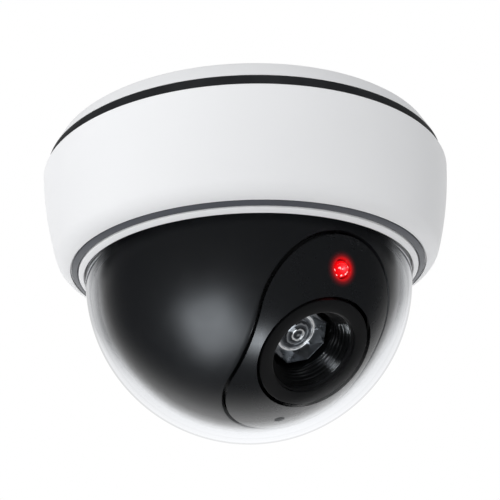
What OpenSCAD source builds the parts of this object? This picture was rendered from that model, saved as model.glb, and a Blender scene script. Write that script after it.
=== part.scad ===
// Ceiling dome camera: a white housing that twists onto a ceiling plate, with a clear dome
// and a black inner liner that turns to aim the lens. The ceiling face is z = 0 and the
// dome hangs down. The lens faces -Y. Millimetres.

/* [Housing] */
// Largest diameter of the white housing
body_d = 130.6; // [128:0.1:134]
// Height of the white skirt of the ceiling plate
skirt_h = 6; // [5:0.1:6.5]
// Height of the dark ring between the ceiling plate and the housing
seal_h = 3.4; // [3:0.1:4]
// Wall thickness of the housing
wall = 2; // [1.8:0.1:2.4]
// Radius of the long curve of the housing's side
side_curve_r = 111; // [105:1:120]
// Radius of the curve that turns the side into the underside
foot_curve_r = 7; // [6.8:0.1:7.2]

/* [Dome] */
// Outer diameter of the clear dome
dome_d = 102.8; // [102:0.1:103]
// Wall thickness of the clear dome
dome_wall = 1.5; // [1.2:0.1:1.6]
// Outer diameter of the black liner
liner_d = 95; // [94:0.5:96]
// Wall thickness of the liner
liner_wall = 1.5; // [1.4:0.1:1.6]

/* [Lens] */
// Angle of the lens below the horizon
lens_down = 47; // [45:1:49]
// Angle of the lamp below the horizon
lamp_down = 14.1; // [13:0.1:14.5]
// Angle of the lamp to the side of the lens
lamp_side = -2.1; // [-2.5:0.1:0]
// Angle of the light sensor below the horizon
sensor_down = 79; // [77:0.1:80]
// Angle of the light sensor to the side of the lens
sensor_side = 3.1; // [0:0.1:3.5]
// Radius of the panel's wide upper end
panel_top_r = 22.6; // [22:0.1:23]
// Radius of the panel's lower end
panel_low_r = 20.6; // [19.8:0.1:20.8]
// Width of the groove round the panel
groove_w = 0.85; // [0.6:0.05:0.9]
// Width of the groove round the bezel
bezel_groove_w = 1; // [0.6:0.1:1.2]
// Radius of the flat bezel round the lens
bezel_r = 17.6; // [17:0.1:18]
// Radius of the bezel's opening
bezel_open_r = 13.5; // [13:0.1:13.6]
// Diameter of the lamp
lamp_d = 5; // [4.8:0.1:5]
// Diameter of the lamp's hole in the panel
lamp_hole_d = 6; // [5.4:0.1:6.2]

/* [Mounting] */
// Distance between the two ceiling screws
screw_spacing = 80; // [70:1:86]
// Diameter of the ceiling screw holes
screw_hole_d = 4.5; // [4:0.1:5]

/* [Batteries] */
// Diameter of one cell
cell_d = 14.5; // [14:0.1:14.5]
// Length of one cell with its nub
cell_len = 50.5; // [49.5:0.1:50.5]

/* [Hidden] */
$fn = 96;

// Colours
white = "#E9EAEC";
dark_grey = "#4A4B50";
mid_grey = "#77797E";
black = "#1B1C1E";
steel = "#B5B8BC";

// Levels, from the ceiling down
body_r = body_d / 2;
plate_t = 3;
z_skirt = -skirt_h;
z_seal = z_skirt - seal_h;
z_dome = -43.3;
z_foot = z_dome + 2.5;
z_flange = z_dome + 4.6;
z_clamp = z_flange + 1.5;
z_clamp_top = z_clamp + 1.2;
z_carrier = z_clamp_top + 2.3;
carrier_t = 1.8;
z_carrier_top = z_carrier + carrier_t;

// Radii of the outside
plate_top_r = body_r - 5;
plate_low_r = body_r - 1.3;
lip_r = 0.5;
seal_low_r = body_r - lip_r;
foot_r = body_r - 9.1;
accent_in_r = foot_r - 2.4;
dome_r = dome_d / 2;
liner_r = liner_d / 2;
liner_in_r = liner_r - liner_wall;
dome_in_r = dome_r - dome_wall;
mould_gap = 0.15;

// Bayonet between the ceiling plate and the housing
spigot_r = plate_low_r - 4.5;
spigot_low = -14.2;
spigot_wall = 2.2;
lug_count = 3;
lug_angle = 16;
lug_t = 2;
lug_out_r = spigot_r + 1.5;
z_house_lug = z_seal - 2.3;
z_plate_lug = z_house_lug - 0.3;

// Small self-tapping screws
screw_r = 1.2;
pilot_r = 1.25;
head_r = 2.3;
head_t = 1.4;

// Turning flange of the liner
track_r = liner_r + 1.8;
track_t = 1.5;
z_track_top = z_carrier - 0.4;
stop_half_angle = 4;
rim_in_r = liner_r + 4;
rim_out_r = rim_in_r + 1.5;

// Lens, measured along its axis from the dome's centre
bezel_face = 43.6;
bezel_t = 2;
barrel_r = 14.5;
barrel_low_r = 11.7;
barrel_step = 36;
barrel_back = 28;
cup_floor = 29.5;
cup_r = 9.7;
cup_top = 34.8;
panel_top_v = 11.1;
panel_low_v = -11.5;
panel_in_r = liner_in_r - 1.6;
sensor_hole_r = 1.6;
lip_overlap = 1.2;
boss_r = 20.1;
bracket_face = 34.5;
bracket_t = 1.5;
bracket_screw_u = 27;

// Lamp and light sensor, measured from the dome's centre
lamp_tip = liner_r + 1.1;
lamp_base = lamp_tip - 8.6;
lamp_leg = 5;
holder_r = 4.2;
sensor_r = 2.5;
sensor_back = 42;
sensor_leg = 4;
leg_w = 0.5;
// Distance between the end of a leg and the lead that is soldered to it
solder_gap = 0.05;

// Battery tray
tray_y = 22.5;
cell_y = 7.6;
cell_r = cell_d / 2;
tray_in_x = 30;
tray_in_y = 15.8;
tray_wall = 1.5;
tray_floor = 1.2;
tray_x = tray_in_x + tray_wall;
tray_half_y = tray_in_y + tray_wall;
z_cell = z_carrier_top + tray_floor + 0.1 + cell_r;
z_tray_top = z_cell + cell_r + 0.1;
contact_t = 0.4;
tag_z = z_carrier_top + 4;
door_t = 1.3;
door_gap = 0.3;
rail_w = 1;
nub_r = 2.7;
nub_len = 1.2;

// Circuit board
board_x = 30;
board_y = 20;
board_t = 1.6;
board_at_y = -24;
standoff_h = 3;
z_board = z_carrier_top + standoff_h;
z_board_top = z_board + board_t;
board_screw_x = 12.5;
board_screw_y = -31;
switch_x = 8.6;
switch_y = 4;
switch_h = 4;
switch_at = [-3, -31];
switch_travel = 2;
knob_w = 2;

// Leads
lead_r = 0.5;
hub_r = 1.2;
lead_sides = 8;
hub_r_hole = 4.2;

// ---- helpers ----

// Points on an arc, from angle a0 to a1, n steps
function arc(cx, cy, r, a0, a1, n) =
    [for (i = [0 : n]) let (a = a0 + (a1 - a0) * i / n) [cx + r * cos(a), cy + r * sin(a)]];

// Radius of the housing's side at height z, on a long curve centred at z_wide
z_wide = -4;
function side_sag(z) = side_curve_r - sqrt(side_curve_r * side_curve_r - pow(z - z_wide, 2));
function side_at(z) = body_r + side_sag(z_seal - lip_r) - side_sag(z);

// Points along the housing's side, moved in by t
function side_points(za, zb, t, n) =
    [for (i = [0 : n]) let (z = za + (zb - za) * i / n) [side_at(z) - t, z]];

// A ring about Z with a plain rectangular section
module ring(r_in, r_out, z0, z1) {
    rotate_extrude()
        translate([r_in, z0])
            square([r_out - r_in, z1 - z0]);
}

// Part of such a ring, centred on an angle
module ring_part(r_in, r_out, z0, z1, middle, span) {
    rotate([0, 0, middle - span / 2])
        rotate_extrude(angle = span)
            translate([r_in, z0])
                square([r_out - r_in, z1 - z0]);
}

// A plain cylinder between two heights
module post(r, z0, z1) {
    translate([0, 0, z0])
        cylinder(r = r, h = z1 - z0);
}

// A box centred on X and Y between two heights
module slab(x, y, z0, z1) {
    translate([-x / 2, -y / 2, z0])
        cube([x, y, z1 - z0]);
}

// Places its children on a ray from the dome's centre, with +Z outwards
module on_ray(down, side = 0) {
    translate([0, 0, z_dome])
        rotate([90 + down, 0, 0])
            rotate([0, side, 0])
                children();
}

// A small pan-head screw with its head's seat at z = 0, pointing down
module screw(len) {
    difference() {
        union() {
            post(head_r, 0, head_t);
            post(screw_r, -len, 0.1);
        }
        for (a = [0, 90])
            rotate([0, 0, a])
                slab(2.6, 0.6, head_t - 0.7, head_t + 1);
    }
}

// A Catmull-Rom point between p1 and p2
function spline_point(p0, p1, p2, p3, t) =
    0.5 * (2 * p1 + (p2 - p0) * t + (2 * p0 - 5 * p1 + 4 * p2 - p3) * t * t
    + (3 * p1 - p0 - 3 * p2 + p3) * t * t * t);

// A smooth route through the given points, with k steps between each pair
function smooth(p, k) = let (n = len(p) - 1) concat(
    [for (i = [0 : n - 1]) for (j = [0 : k - 1])
        spline_point(p[max(i - 1, 0)], p[i], p[i + 1], p[min(i + 2, n)], j / k)],
    [p[n]]);

function unit(v) = v / norm(v);

// A round wire of radius r along a route, closed at both ends
module wire(route, r) {
    n = len(route);
    axis = [for (i = [0 : n - 1]) unit(route[min(i + 1, n - 1)] - route[max(i - 1, 0)])];
    side = [for (t = axis) unit(cross(t, abs(t.x) > 0.8 ? [0, 1, 0.2] : [1, 0.1, 0]))];
    points = [for (i = [0 : n - 1]) for (k = [0 : lead_sides - 1])
        let (a = 360 * k / lead_sides)
        route[i] + r * (cos(a) * side[i] + sin(a) * cross(axis[i], side[i]))];
    walls = [for (i = [0 : n - 2]) for (k = [0 : lead_sides - 1])
        let (a = i * lead_sides + k, b = i * lead_sides + (k + 1) % lead_sides)
        [a, a + lead_sides, b + lead_sides, b]];
    start_cap = [for (k = [0 : lead_sides - 1]) k];
    end_cap = [for (k = [lead_sides - 1 : -1 : 0]) (n - 1) * lead_sides + k];
    polyhedron(points = points, faces = concat(walls, [start_cap, end_cap]));
}

// ---- ceiling plate ----

module base_plate() {
    pocket_depth = 1.2;
    hub_land_r = 11;
    rim_land_r = 52;
    rib_count = 8;
    rib_w = 2;
    boss_land_r = 6;
    color(white)
        difference() {
            union() {
                rotate_extrude()
                    polygon([[0, 0], [plate_top_r, 0], [plate_top_r + 0.9, -0.7], [plate_low_r, z_skirt],
                        [spigot_r, z_skirt],
                        [spigot_r, spigot_low], [spigot_r - spigot_wall, spigot_low],
                        [spigot_r - spigot_wall, -plate_t], [0, -plate_t]]);
                for (i = [0 : lug_count - 1]) {
                    ring_part(spigot_r - 1, lug_out_r, z_plate_lug - lug_t, z_plate_lug,
                        360 * i / lug_count, lug_angle);
                    ring_part(spigot_r - 1, lug_out_r, z_plate_lug - lug_t, z_house_lug + 1.6,
                        360 * i / lug_count + lug_angle / 2 + 1.8, 2.6);
                }
                for (s = [-1, 1])
                    translate([s * screw_spacing / 2, 0, 0])
                        post(5, -plate_t - 1.5, -1);
            }
            for (s = [-1, 1])
                translate([s * screw_spacing / 2, 0, 0])
                    post(screw_hole_d / 2, -10, 1);
            // lightening pockets in the ceiling face
            difference() {
                ring(hub_land_r, rim_land_r, -pocket_depth, 1);
                for (i = [0 : rib_count - 1])
                    rotate([0, 0, 360 * i / rib_count])
                        slab(2 * rim_land_r + 4, rib_w, -2, 2);
                ring(30, 32, -2, 2);
                for (s = [-1, 1])
                    translate([s * screw_spacing / 2, 0, 0])
                        post(boss_land_r, -2, 2);
            }
        }
}

module seal_ring() {
    color(dark_grey)
        rotate_extrude()
            polygon([[spigot_r + 0.1, z_skirt], [plate_low_r, z_skirt],
                [seal_low_r - 0.1, z_seal + 0.2], [spigot_r + 0.1, z_seal + 0.2]]);
}

// ---- housing ----

module housing() {
    // the foot curve starts where the side has this height and ends at the accent ring
    z_turn = z_dome + 7.1;
    turn_r = side_at(z_turn);
    slope = asin((z_wide - z_turn) / side_curve_r);
    foot_cx = turn_r - foot_curve_r * cos(slope);
    foot_cz = z_turn + foot_curve_r * sin(slope);
    end_angle = -atan2(foot_cz - z_foot, foot_r - foot_cx);
    inner_low_r = foot_r + 0.6;
    screw_lug_in_r = rim_out_r + 0.4;
    color(white)
        difference() {
            union() {
                rotate_extrude()
                    polygon(concat(
                        [[seal_low_r - wall, z_seal]],
                        arc(seal_low_r, z_seal - lip_r, lip_r, 90, 0, 6),
                        side_points(z_seal - lip_r - 1, z_turn + 1, 0, 10),
                        arc(foot_cx, foot_cz, foot_curve_r, -slope, end_angle, 8),
                        [[foot_r, z_foot + 0.7], [foot_r - 1.2, z_foot + 0.7],
                            [foot_r - 1.2, z_flange], [inner_low_r, z_flange],
                            [inner_low_r, z_flange + 1.3]],
                        side_points(z_turn, z_seal - 4, wall, 8)));
                for (i = [0 : lug_count - 1]) {
                    ring_part(spigot_r + 0.4, seal_low_r - 1, z_house_lug, z_seal,
                        360 * i / lug_count, lug_angle);
                    ring_part(screw_lug_in_r, side_at(z_carrier) - 1, z_clamp_top + 0.2, z_carrier,
                        360 * i / lug_count + 30, 12);
                }
            }
            for (i = [0 : lug_count - 1])
                rotate([0, 0, 360 * i / lug_count + 30])
                    translate([screw_lug_in_r + 2, 0, 0])
                        post(pilot_r, z_clamp_top - 0.1, z_carrier + 0.1);
        }
}

module accent_ring() {
    color(mid_grey)
        rotate_extrude()
            polygon([[foot_r - 0.3, z_foot - 0.1], [accent_in_r, z_foot - 1.2], [accent_in_r, z_flange],
                [foot_r - 1.3, z_flange], [foot_r - 1.3, z_foot + 0.6], [foot_r - 0.3, z_foot + 0.6]]);
}

module dome_ring() {
    color(white)
        rotate_extrude()
            polygon([[accent_in_r - 0.1, z_foot - 1.25], [dome_r + 0.35, z_dome + 0.2],
                [dome_r + mould_gap, z_dome + 0.2], [dome_r + mould_gap, z_flange],
                [accent_in_r - 0.1, z_flange]]);
}

// Notches that let a flanged ring drop past the housing's screw lugs before it is turned
module drop_notches(z0, z1) {
    for (i = [0 : lug_count - 1])
        ring_part(rim_out_r + 0.2, body_r, z0, z1, 360 * i / lug_count + 90, 15);
}

module clear_dome() {
    color("#E4EEF2", 0.35)
        difference() {
            union() {
                difference() {
                    translate([0, 0, z_dome])
                        sphere(r = dome_r, $fn = 128);
                    translate([0, 0, z_dome])
                        sphere(r = dome_in_r, $fn = 128);
                    slab(body_d, body_d, z_dome, 10);
                }
                ring(dome_in_r, dome_r, z_dome, z_flange + 0.1);
                ring(dome_in_r, foot_r + 0.4, z_flange, z_clamp);
            }
            drop_notches(z_flange - 1, z_clamp + 1);
        }
}

module dome_clamp() {
    color(black)
        difference() {
            union() {
                ring(liner_r + 0.5, foot_r + 0.3, z_clamp, z_clamp_top);
                ring(rim_in_r, rim_out_r, z_clamp_top - 0.1, z_carrier);
                // stop for the turning liner
                ring_part(track_r + 0.4, rim_in_r + 0.5, z_clamp_top - 0.1, z_carrier,
                    270, 2 * stop_half_angle);
            }
            drop_notches(z_clamp - 1, z_clamp_top + 0.01);
        }
}

module carrier_plate() {
    lug_at_r = rim_out_r + 2.4;
    color(black)
        difference() {
            union() {
                post(foot_r - 0.2, z_carrier, z_carrier_top);
                for (s = [-1, 1])
                    translate([s * board_screw_x, board_screw_y, 0])
                        post(2.6, z_carrier_top - 0.1, z_board);
                translate([board_screw_x, board_at_y + 7, 0])
                    post(2, z_carrier_top - 0.1, z_board);
                translate([-board_screw_x, board_at_y + 7, 0])
                    post(2, z_carrier_top - 0.1, z_board);
            }
            post(hub_r_hole, z_carrier - 1, z_carrier_top + 1);
            for (i = [0 : lug_count - 1])
                rotate([0, 0, 360 * i / lug_count + 30])
                    translate([lug_at_r, 0, 0])
                        post(pilot_r + 0.2, z_carrier - 1, z_carrier_top + 1);
            for (s = [-1, 1])
                translate([s * board_screw_x, board_screw_y, 0])
                    post(pilot_r, z_carrier + 0.8, z_board + 1);
            for (s = [-1, 1])
                translate([s * 15, tray_y, 0])
                    post(pilot_r, z_carrier + 0.3, z_carrier_top + 1);
            // finger openings on both sides
            for (s = [-1, 1])
                ring_part(38, 48, z_carrier - 1, z_carrier_top + 1, 90 + s * 125, 26);
        }
}

module carrier_screws() {
    color(steel)
        for (i = [0 : lug_count - 1])
            rotate([0, 0, 360 * i / lug_count + 30])
                translate([rim_out_r + 2.4, 0, z_carrier_top])
                    screw(4);
}

module lead_grommet() {
    bore_r = 2.6;
    flange_r = 4.9;
    color("#2A2A2A")
        difference() {
            union() {
                post(flange_r, z_carrier_top, z_carrier_top + 1);
                post(hub_r_hole, z_carrier - 0.1, z_carrier_top + 0.1);
                post(flange_r, z_carrier - 1, z_carrier);
            }
            post(bore_r, z_carrier - 2, z_carrier_top + 2);
        }
}

// ---- batteries ----

// Places its children in the tray's own frame, with its floor's underside at z = 0
module in_tray() {
    translate([0, tray_y, z_carrier_top])
        children();
}

module battery_tray() {
    tray_h = z_tray_top - z_carrier_top;
    color(black)
        in_tray()
            difference() {
                union() {
                    slab(2 * tray_x, 2 * tray_half_y, 0, tray_h);
                    for (s = [-1, 1])
                        translate([0, s * (tray_half_y + rail_w / 2 - 0.05), 0])
                            slab(2 * tray_x, rail_w + 0.1, tray_h - 1.3, tray_h);
                }
                difference() {
                    slab(2 * tray_in_x, 2 * tray_in_y, tray_floor, tray_h + 1);
                    slab(50, 1.6, 0, tray_floor + 4);
                }
                for (s = [-1, 1])
                    translate([s * 15, 0, 0])
                        post(head_r + 0.3, tray_floor, tray_floor + 5);
                // slots for the solder tags
                for (s = [-1, 1])
                    translate([tray_x, s * cell_y, 0])
                        slab(6, 3.6, 3.7, 4.7);
                for (s = [-1, 1])
                    translate([s * 15, 0, 0])
                        post(pilot_r, -1, 10);
            }
}

module tray_screws() {
    color(steel)
        for (s = [-1, 1])
            translate([s * 15, tray_y, z_carrier_top + tray_floor])
                screw(2.6);
}

// One cell along X with its nub towards +X
module cell(wrap) {
    body_len = cell_len - nub_len;
    tip = tray_in_x - contact_t;
    color(wrap)
        translate([tip - cell_len, 0, 0])
            rotate([0, 90, 0]) {
                post(cell_r - 0.3, 0, 0.4);
                post(cell_r, 0.3, body_len - 0.4);
                post(cell_r - 0.5, body_len - 0.5, body_len);
                post(nub_r, body_len - 0.1, cell_len);
            }
}

module battery_left() {
    translate([0, tray_y + cell_y, z_cell])
        cell("#2E5E9E");
}

module battery_right() {
    translate([0, tray_y - cell_y, z_cell])
        mirror([1, 0, 0])
            cell("#2E5E9E");
}

// A tapering coil along X, from the contact plate to the flat end of a cell
module coil() {
    turns = 4;
    steps = 14;
    wide_r = 5;
    narrow_r = 2.6;
    coil_r = 0.35;
    x0 = -tray_in_x + contact_t + coil_r + 0.02;
    x1 = tray_in_x - contact_t - cell_len - coil_r - 0.02;
    // the last turn lies flat against the cell
    route = [for (i = [0 : turns * steps])
        let (t = i / (turns * steps), a = 360 * i / steps, r = wide_r + (narrow_r - wide_r) * t)
        [x0 + (x1 - x0) * t, r * cos(a), r * sin(a)]];
    wire(route, coil_r);
}

module contact_springs() {
    color(steel) {
        translate([0, tray_y + cell_y, z_cell])
            coil();
        translate([0, tray_y - cell_y, z_cell])
            mirror([1, 0, 0])
                coil();
    }
}

module contact_plates() {
    single_w = 10;
    plate_low = 3;
    plate_high = 13;
    color(steel)
        in_tray() {
            translate([-tray_in_x + contact_t / 2, 0, 0])
                slab(contact_t, 2 * cell_y + single_w, plate_low, plate_high);
            for (s = [-1, 1]) {
                translate([tray_in_x - contact_t / 2, s * cell_y, 0])
                    slab(contact_t, single_w, plate_low, plate_high);
                translate([tray_x, s * cell_y, 0])
                    slab(4, 3, 4, 4.4);
            }
        }
}

module battery_door() {
    tray_h = z_tray_top - z_carrier_top;
    under = tray_h + door_gap;
    hook_top = tray_h - 1.3 - door_gap;
    skirt_y = tray_half_y + rail_w + 0.4;
    skirt_t = 1.2;
    door_y = skirt_y + skirt_t;
    color(black)
        in_tray() {
            slab(2 * tray_x + 1, 2 * door_y, under, under + door_t);
            for (s = [-1, 1]) {
                translate([0, s * (skirt_y + skirt_t / 2), 0])
                    slab(2 * tray_x + 1, skirt_t, hook_top - 1.2, under + 0.1);
                translate([0, s * (skirt_y - 0.35), 0])
                    slab(2 * tray_x + 1, 0.9, hook_top - 1.2, hook_top);
            }
            // raised bars for the thumb
            for (i = [-2 : 2])
                translate([-22 + 2.4 * i, 0, 0])
                    slab(1, 14, under + door_t - 0.1, under + door_t + 0.6);
        }
}

// ---- circuit ----

module circuit_board() {
    color("#1F6B3A")
        difference() {
            translate([0, board_at_y, 0])
                slab(board_x, board_y, z_board, z_board_top);
            for (s = [-1, 1])
                translate([s * board_screw_x, board_screw_y, 0])
                    post(pilot_r + 0.15, z_board - 1, z_board_top + 1);
        }
}

module board_screws() {
    color(steel)
        for (s = [-1, 1])
            translate([s * board_screw_x, board_screw_y, z_board_top])
                screw(5);
}

module flasher_chip() {
    leg_pitch = 1.27;
    color("#202124")
        translate([6, board_at_y + 1, z_board_top]) {
            slab(3.9, 5, 0.15, 1.6);
            for (s = [-1, 1])
                for (i = [-1.5 : 1.5])
                    translate([s * 2.4, i * leg_pitch, 0])
                        slab(1.2, 0.45, 0, 0.4);
        }
}

module capacitor() {
    color("#26346B")
        translate([-7.5, board_at_y + 2.5, z_board_top]) {
            post(2.5, 0.3, 6.8);
            post(2.2, 0, 0.4);
        }
}

module resistors() {
    color("#C9A86A")
        for (i = [0 : 2])
            translate([-3.3 + 2.4 * i, board_at_y + 1.5, z_board_top])
                union() {
                    translate([0, 0, 1])
                        rotate([90, 0, 0])
                            post(0.9, -1.8, 1.8);
                    for (s = [-1, 1])
                        translate([0, s * 2.1, 0]) {
                            slab(0.5, 0.5, 0, 1.25);
                            translate([0, -s * 0.3, 0])
                                slab(0.5, 0.8, 0.8, 1.25);
                        }
                }
}

module switch_body() {
    slot_depth = 1.6;
    color(steel)
        translate([switch_at.x, switch_at.y, z_board_top])
            difference() {
                slab(switch_x, switch_y, 0, switch_h);
                translate([switch_travel / 2, 0, 0])
                    slab(knob_w + switch_travel + 0.6, knob_w + 0.6, switch_h - slot_depth, switch_h + 1);
            }
}

module switch_knob() {
    color(black)
        translate([switch_at.x, switch_at.y, z_board_top])
            slab(knob_w, knob_w, switch_h - 1.3, switch_h + 2.4);
}

module battery_leads() {
    z_low = z_carrier_top + lead_r + 0.5;
    z_tag = z_carrier_top + 4.4 + lead_r + 0.1;
    z_pad = z_board_top + lead_r;
    color("#C33A32")
        wire(smooth([[32.4, tray_y + cell_y, z_tag], [35, 29.5, z_tag], [38.5, 20, z_low],
            [37, 4, z_low], [27, -10, z_low + 1], [17, -15.5, z_pad + 1], [12, -17, z_pad]], 4), lead_r);
    color("#232325")
        wire(smooth([[32.4, tray_y - cell_y, z_tag], [34.5, 13, z_tag], [35, 4, z_low],
            [26, -7, z_low + 1], [15.5, -12, z_pad + 1], [10, -16, z_pad]], 4), lead_r);
}

// The four leads pass the turning axis on a small circle
function hub_point(i, z) = [hub_r * cos(45 + 90 * i), hub_r * sin(45 + 90 * i), z];

lead_colours = ["#D8B43A", "#E2E2E0", "#C33A32", "#232325"];

module upper_leads() {
    z_pad = z_board_top + lead_r;
    spread = [4.5, -4.5, -1.5, 1.5];
    // the outer pair comes round to the far side of the hub
    for (i = [0 : 3])
        let (far = i < 2 ? 1 : 0, hub = hub_point(i, 0))
            color(lead_colours[i])
                wire(smooth([[spread[i], -16, z_pad], [spread[i] * 0.9, -12, z_pad + 0.6],
                    [hub.x * (1 + 1.8 * far), hub.y - 4.5 + far, z_carrier_top + 4.5 + far],
                    [hub.x * (1 + 0.8 * far), hub.y - 1, z_carrier_top + 2.8 + far],
                    [hub.x, hub.y, z_carrier - 0.2]], 4), lead_r);
}

// ---- turning liner with the lens ----

// Outline of the panel, looking along the lens, made wider all round by grow
module panel_outline(grow) {
    top_r = panel_top_r + grow;
    low_r = panel_low_r + grow;
    lean = asin((top_r - low_r) / (panel_top_v - panel_low_v));
    polygon(concat(
        arc(0, panel_top_v, top_r, -lean, 180 + lean, 36),
        arc(0, panel_low_v, low_r, 180 + lean, 360 - lean, 30)));
}

module panel_prism(grow) {
    linear_extrude(height = 60)
        panel_outline(grow);
}

module liner() {
    boss_r_out = 2.4;
    color(black)
        difference() {
            union() {
                difference() {
                    translate([0, 0, z_dome])
                        sphere(r = liner_r, $fn = 128);
                    translate([0, 0, z_dome])
                        sphere(r = liner_in_r, $fn = 128);
                    slab(body_d, body_d, z_dome, 10);
                }
                ring(liner_in_r, liner_r, z_dome, z_track_top);
                ring(liner_in_r, track_r, z_track_top - track_t, z_track_top);
                ring_part(track_r - 0.5, rim_in_r - 0.5, z_track_top - track_t, z_track_top,
                    90, 2 * stop_half_angle);
                // posts for the bracket's screws
                intersection() {
                    translate([0, 0, z_dome])
                        sphere(r = liner_in_r + 0.5, $fn = 128);
                    on_ray(lens_down)
                        for (s = [-1, 1])
                            translate([s * bracket_screw_u, 0, 0])
                                post(boss_r_out, bracket_face, 50);
                }
            }
            on_ray(lens_down) {
                panel_prism(groove_w);
                for (s = [-1, 1])
                    translate([s * bracket_screw_u, 0, 0])
                        post(1.05, bracket_face - 1, 37.4);
            }
        }
}

module lens_panel() {
    color(black)
        difference() {
            union() {
                // visible skin with a lip behind it
                intersection() {
                    difference() {
                        translate([0, 0, z_dome])
                            sphere(r = liner_r, $fn = 128);
                        translate([0, 0, z_dome])
                            sphere(r = panel_in_r, $fn = 128);
                    }
                    on_ray(lens_down)
                        panel_prism(0);
                }
                intersection() {
                    difference() {
                        translate([0, 0, z_dome])
                            sphere(r = liner_in_r - 0.2, $fn = 128);
                        translate([0, 0, z_dome])
                            sphere(r = panel_in_r, $fn = 128);
                    }
                    on_ray(lens_down)
                        panel_prism(lip_overlap);
                }
                // collar that the barrel slides into
                intersection() {
                    translate([0, 0, z_dome])
                        sphere(r = panel_in_r + 0.5, $fn = 128);
                    on_ray(lens_down)
                        post(boss_r, bracket_face, 50);
                }
            }
            on_ray(lens_down) {
                post(barrel_r + 0.1, 20, 50);
                post(bezel_r + bezel_groove_w, bezel_face - bezel_t, 50);
            }
            on_ray(lamp_down, lamp_side) {
                post(lamp_hole_d / 2, 43, 50);
                post(holder_r + 0.2, 30, panel_in_r - 0.1);
            }
            on_ray(sensor_down, sensor_side) {
                post(sensor_hole_r, 40, 50);
                post(sensor_r + 0.2, 30, panel_in_r - 0.1);
            }
        }
}

module lens_bracket() {
    bar_u = 29.4;
    bar_v = 6;
    color(steel)
        difference() {
            on_ray(lens_down)
                difference() {
                    union() {
                        post(boss_r - 1, bracket_face - bracket_t, bracket_face);
                        slab(2 * bar_u, bar_v, bracket_face - bracket_t, bracket_face);
                    }
                    post(barrel_r + 0.1, 20, 50);
                    for (s = [-1, 1])
                        translate([s * bracket_screw_u, 0, 0])
                            post(1.15, 20, 50);
                }
            // clearance round the lamp's holder
            on_ray(lamp_down, lamp_side)
                post(holder_r + 0.4, 25, 50);
        }
}

module bracket_screws() {
    color(steel)
        on_ray(lens_down)
            for (s = [-1, 1])
                translate([s * bracket_screw_u, 0, bracket_face - bracket_t])
                    rotate([180, 0, 0])
                        difference() {
                            union() {
                                post(1.9, 0, 1.2);
                                post(1, -4, 0.1);
                            }
                            slab(2.4, 0.6, 0.6, 3);
                        }
}

module lens_bezel() {
    color(black)
        on_ray(lens_down)
            ring(bezel_open_r, bezel_r, bezel_face - bezel_t, bezel_face);
}

module lens_barrel() {
    top = bezel_face - bezel_t;
    color(black)
        on_ray(lens_down)
            rotate_extrude()
                polygon([[0, barrel_back], [barrel_low_r, barrel_back], [barrel_low_r, barrel_step],
                    [barrel_r, barrel_step], [barrel_r, top], [12.9, top], [12.9, top - 0.9],
                    [12.1, top - 0.9], [12.1, top - 2.2], [11.4, top - 2.2], [11.4, top - 3.5],
                    [10.8, top - 3.5], [10.8, top - 4.8], [10.2, top - 4.8], [10.2, cup_floor],
                    [0, cup_floor]]);
}

module reflector() {
    hole_r = 5;
    skin = 0.6;
    color("#C9CCD0")
        on_ray(lens_down)
            rotate_extrude()
                polygon([[hole_r + 0.1, cup_floor + 0.1], [hole_r + skin + 0.1, cup_floor + 0.1],
                    [cup_r, cup_top - 1.5], [cup_r, cup_top], [cup_r - skin, cup_top],
                    [cup_r - skin, cup_top - 1.3], [hole_r + 0.1, cup_floor + 1.4]]);
}

module lens_element() {
    rim_r = 5;
    color("#DCE4E8", 0.5)
        on_ray(lens_down)
            rotate_extrude()
                polygon(concat([[0, cup_floor + 0.1], [rim_r, cup_floor + 0.1],
                    [rim_r, cup_floor + 1.2]],
                    arc(0, cup_floor - 2.4, 6.2, 36, 90, 8)));
}

module led() {
    lead_gap = 1.27;
    color("#D4141C")
        on_ray(lamp_down, lamp_side) {
            post(lamp_d / 2, lamp_base + 0.1, lamp_tip - lamp_d / 2);
            translate([0, 0, lamp_tip - lamp_d / 2])
                sphere(r = lamp_d / 2, $fn = 48);
            post(lamp_d / 2 + 0.4, lamp_base, lamp_base + 1);
            for (s = [-1, 1])
                translate([s * lead_gap, 0, 0])
                    slab(leg_w, leg_w, lamp_base - lamp_leg, lamp_base + 0.1);
        }
}

module led_holder() {
    top = panel_in_r - 0.3;
    color(black)
        on_ray(lamp_down, lamp_side)
            difference() {
                post(holder_r, lamp_base - 0.4, top);
                post(lamp_d / 2 + 0.1, 30, 50);
                post(lamp_d / 2 + 0.55, 30, lamp_base + 1.1);
            }
}

module light_sensor() {
    color("#C7A24A")
        on_ray(sensor_down, sensor_side) {
            post(sensor_r, sensor_back, panel_in_r - 0.2);
            for (s = [-1, 1])
                translate([s * 1.7, 0, 0])
                    slab(leg_w, leg_w, sensor_back - sensor_leg, sensor_back + 0.1);
        }
}

// A point in the frame of a ray: x across it and w along it
function ray_point(x, w, down, side) =
    let (across = x * cos(side) + w * sin(side), along = w * cos(side) - x * sin(side))
    [across, -along * cos(down), z_dome - along * sin(down)];

module led_leads() {
    join = lamp_base - lamp_leg - solder_gap;
    for (i = [2, 3])
        let (x = i == 3 ? 1.27 : -1.27)
            color(lead_colours[i])
                wire(smooth([ray_point(x, join, lamp_down, lamp_side),
                    ray_point(x, join - 4, lamp_down, lamp_side),
                    [x - 0.6, -18, -46], [x, -7, -43], hub_point(i, -39.5),
                    hub_point(i, z_carrier - 0.6)], 4), lead_r);
}

module sensor_leads() {
    join = sensor_back - sensor_leg - solder_gap;
    for (i = [0, 1])
        let (x = i == 0 ? 1.7 : -1.7)
            color(lead_colours[i])
                wire(smooth([ray_point(x, join, sensor_down, sensor_side),
                    ray_point(x, join - 4, sensor_down, sensor_side),
                    [x * 1.2 + 1, 1, -70], [x * 1.2, 4, -58], [x, 3.5, -48],
                    hub_point(i, -40), hub_point(i, z_carrier - 0.6)], 4), lead_r);
}

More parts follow.
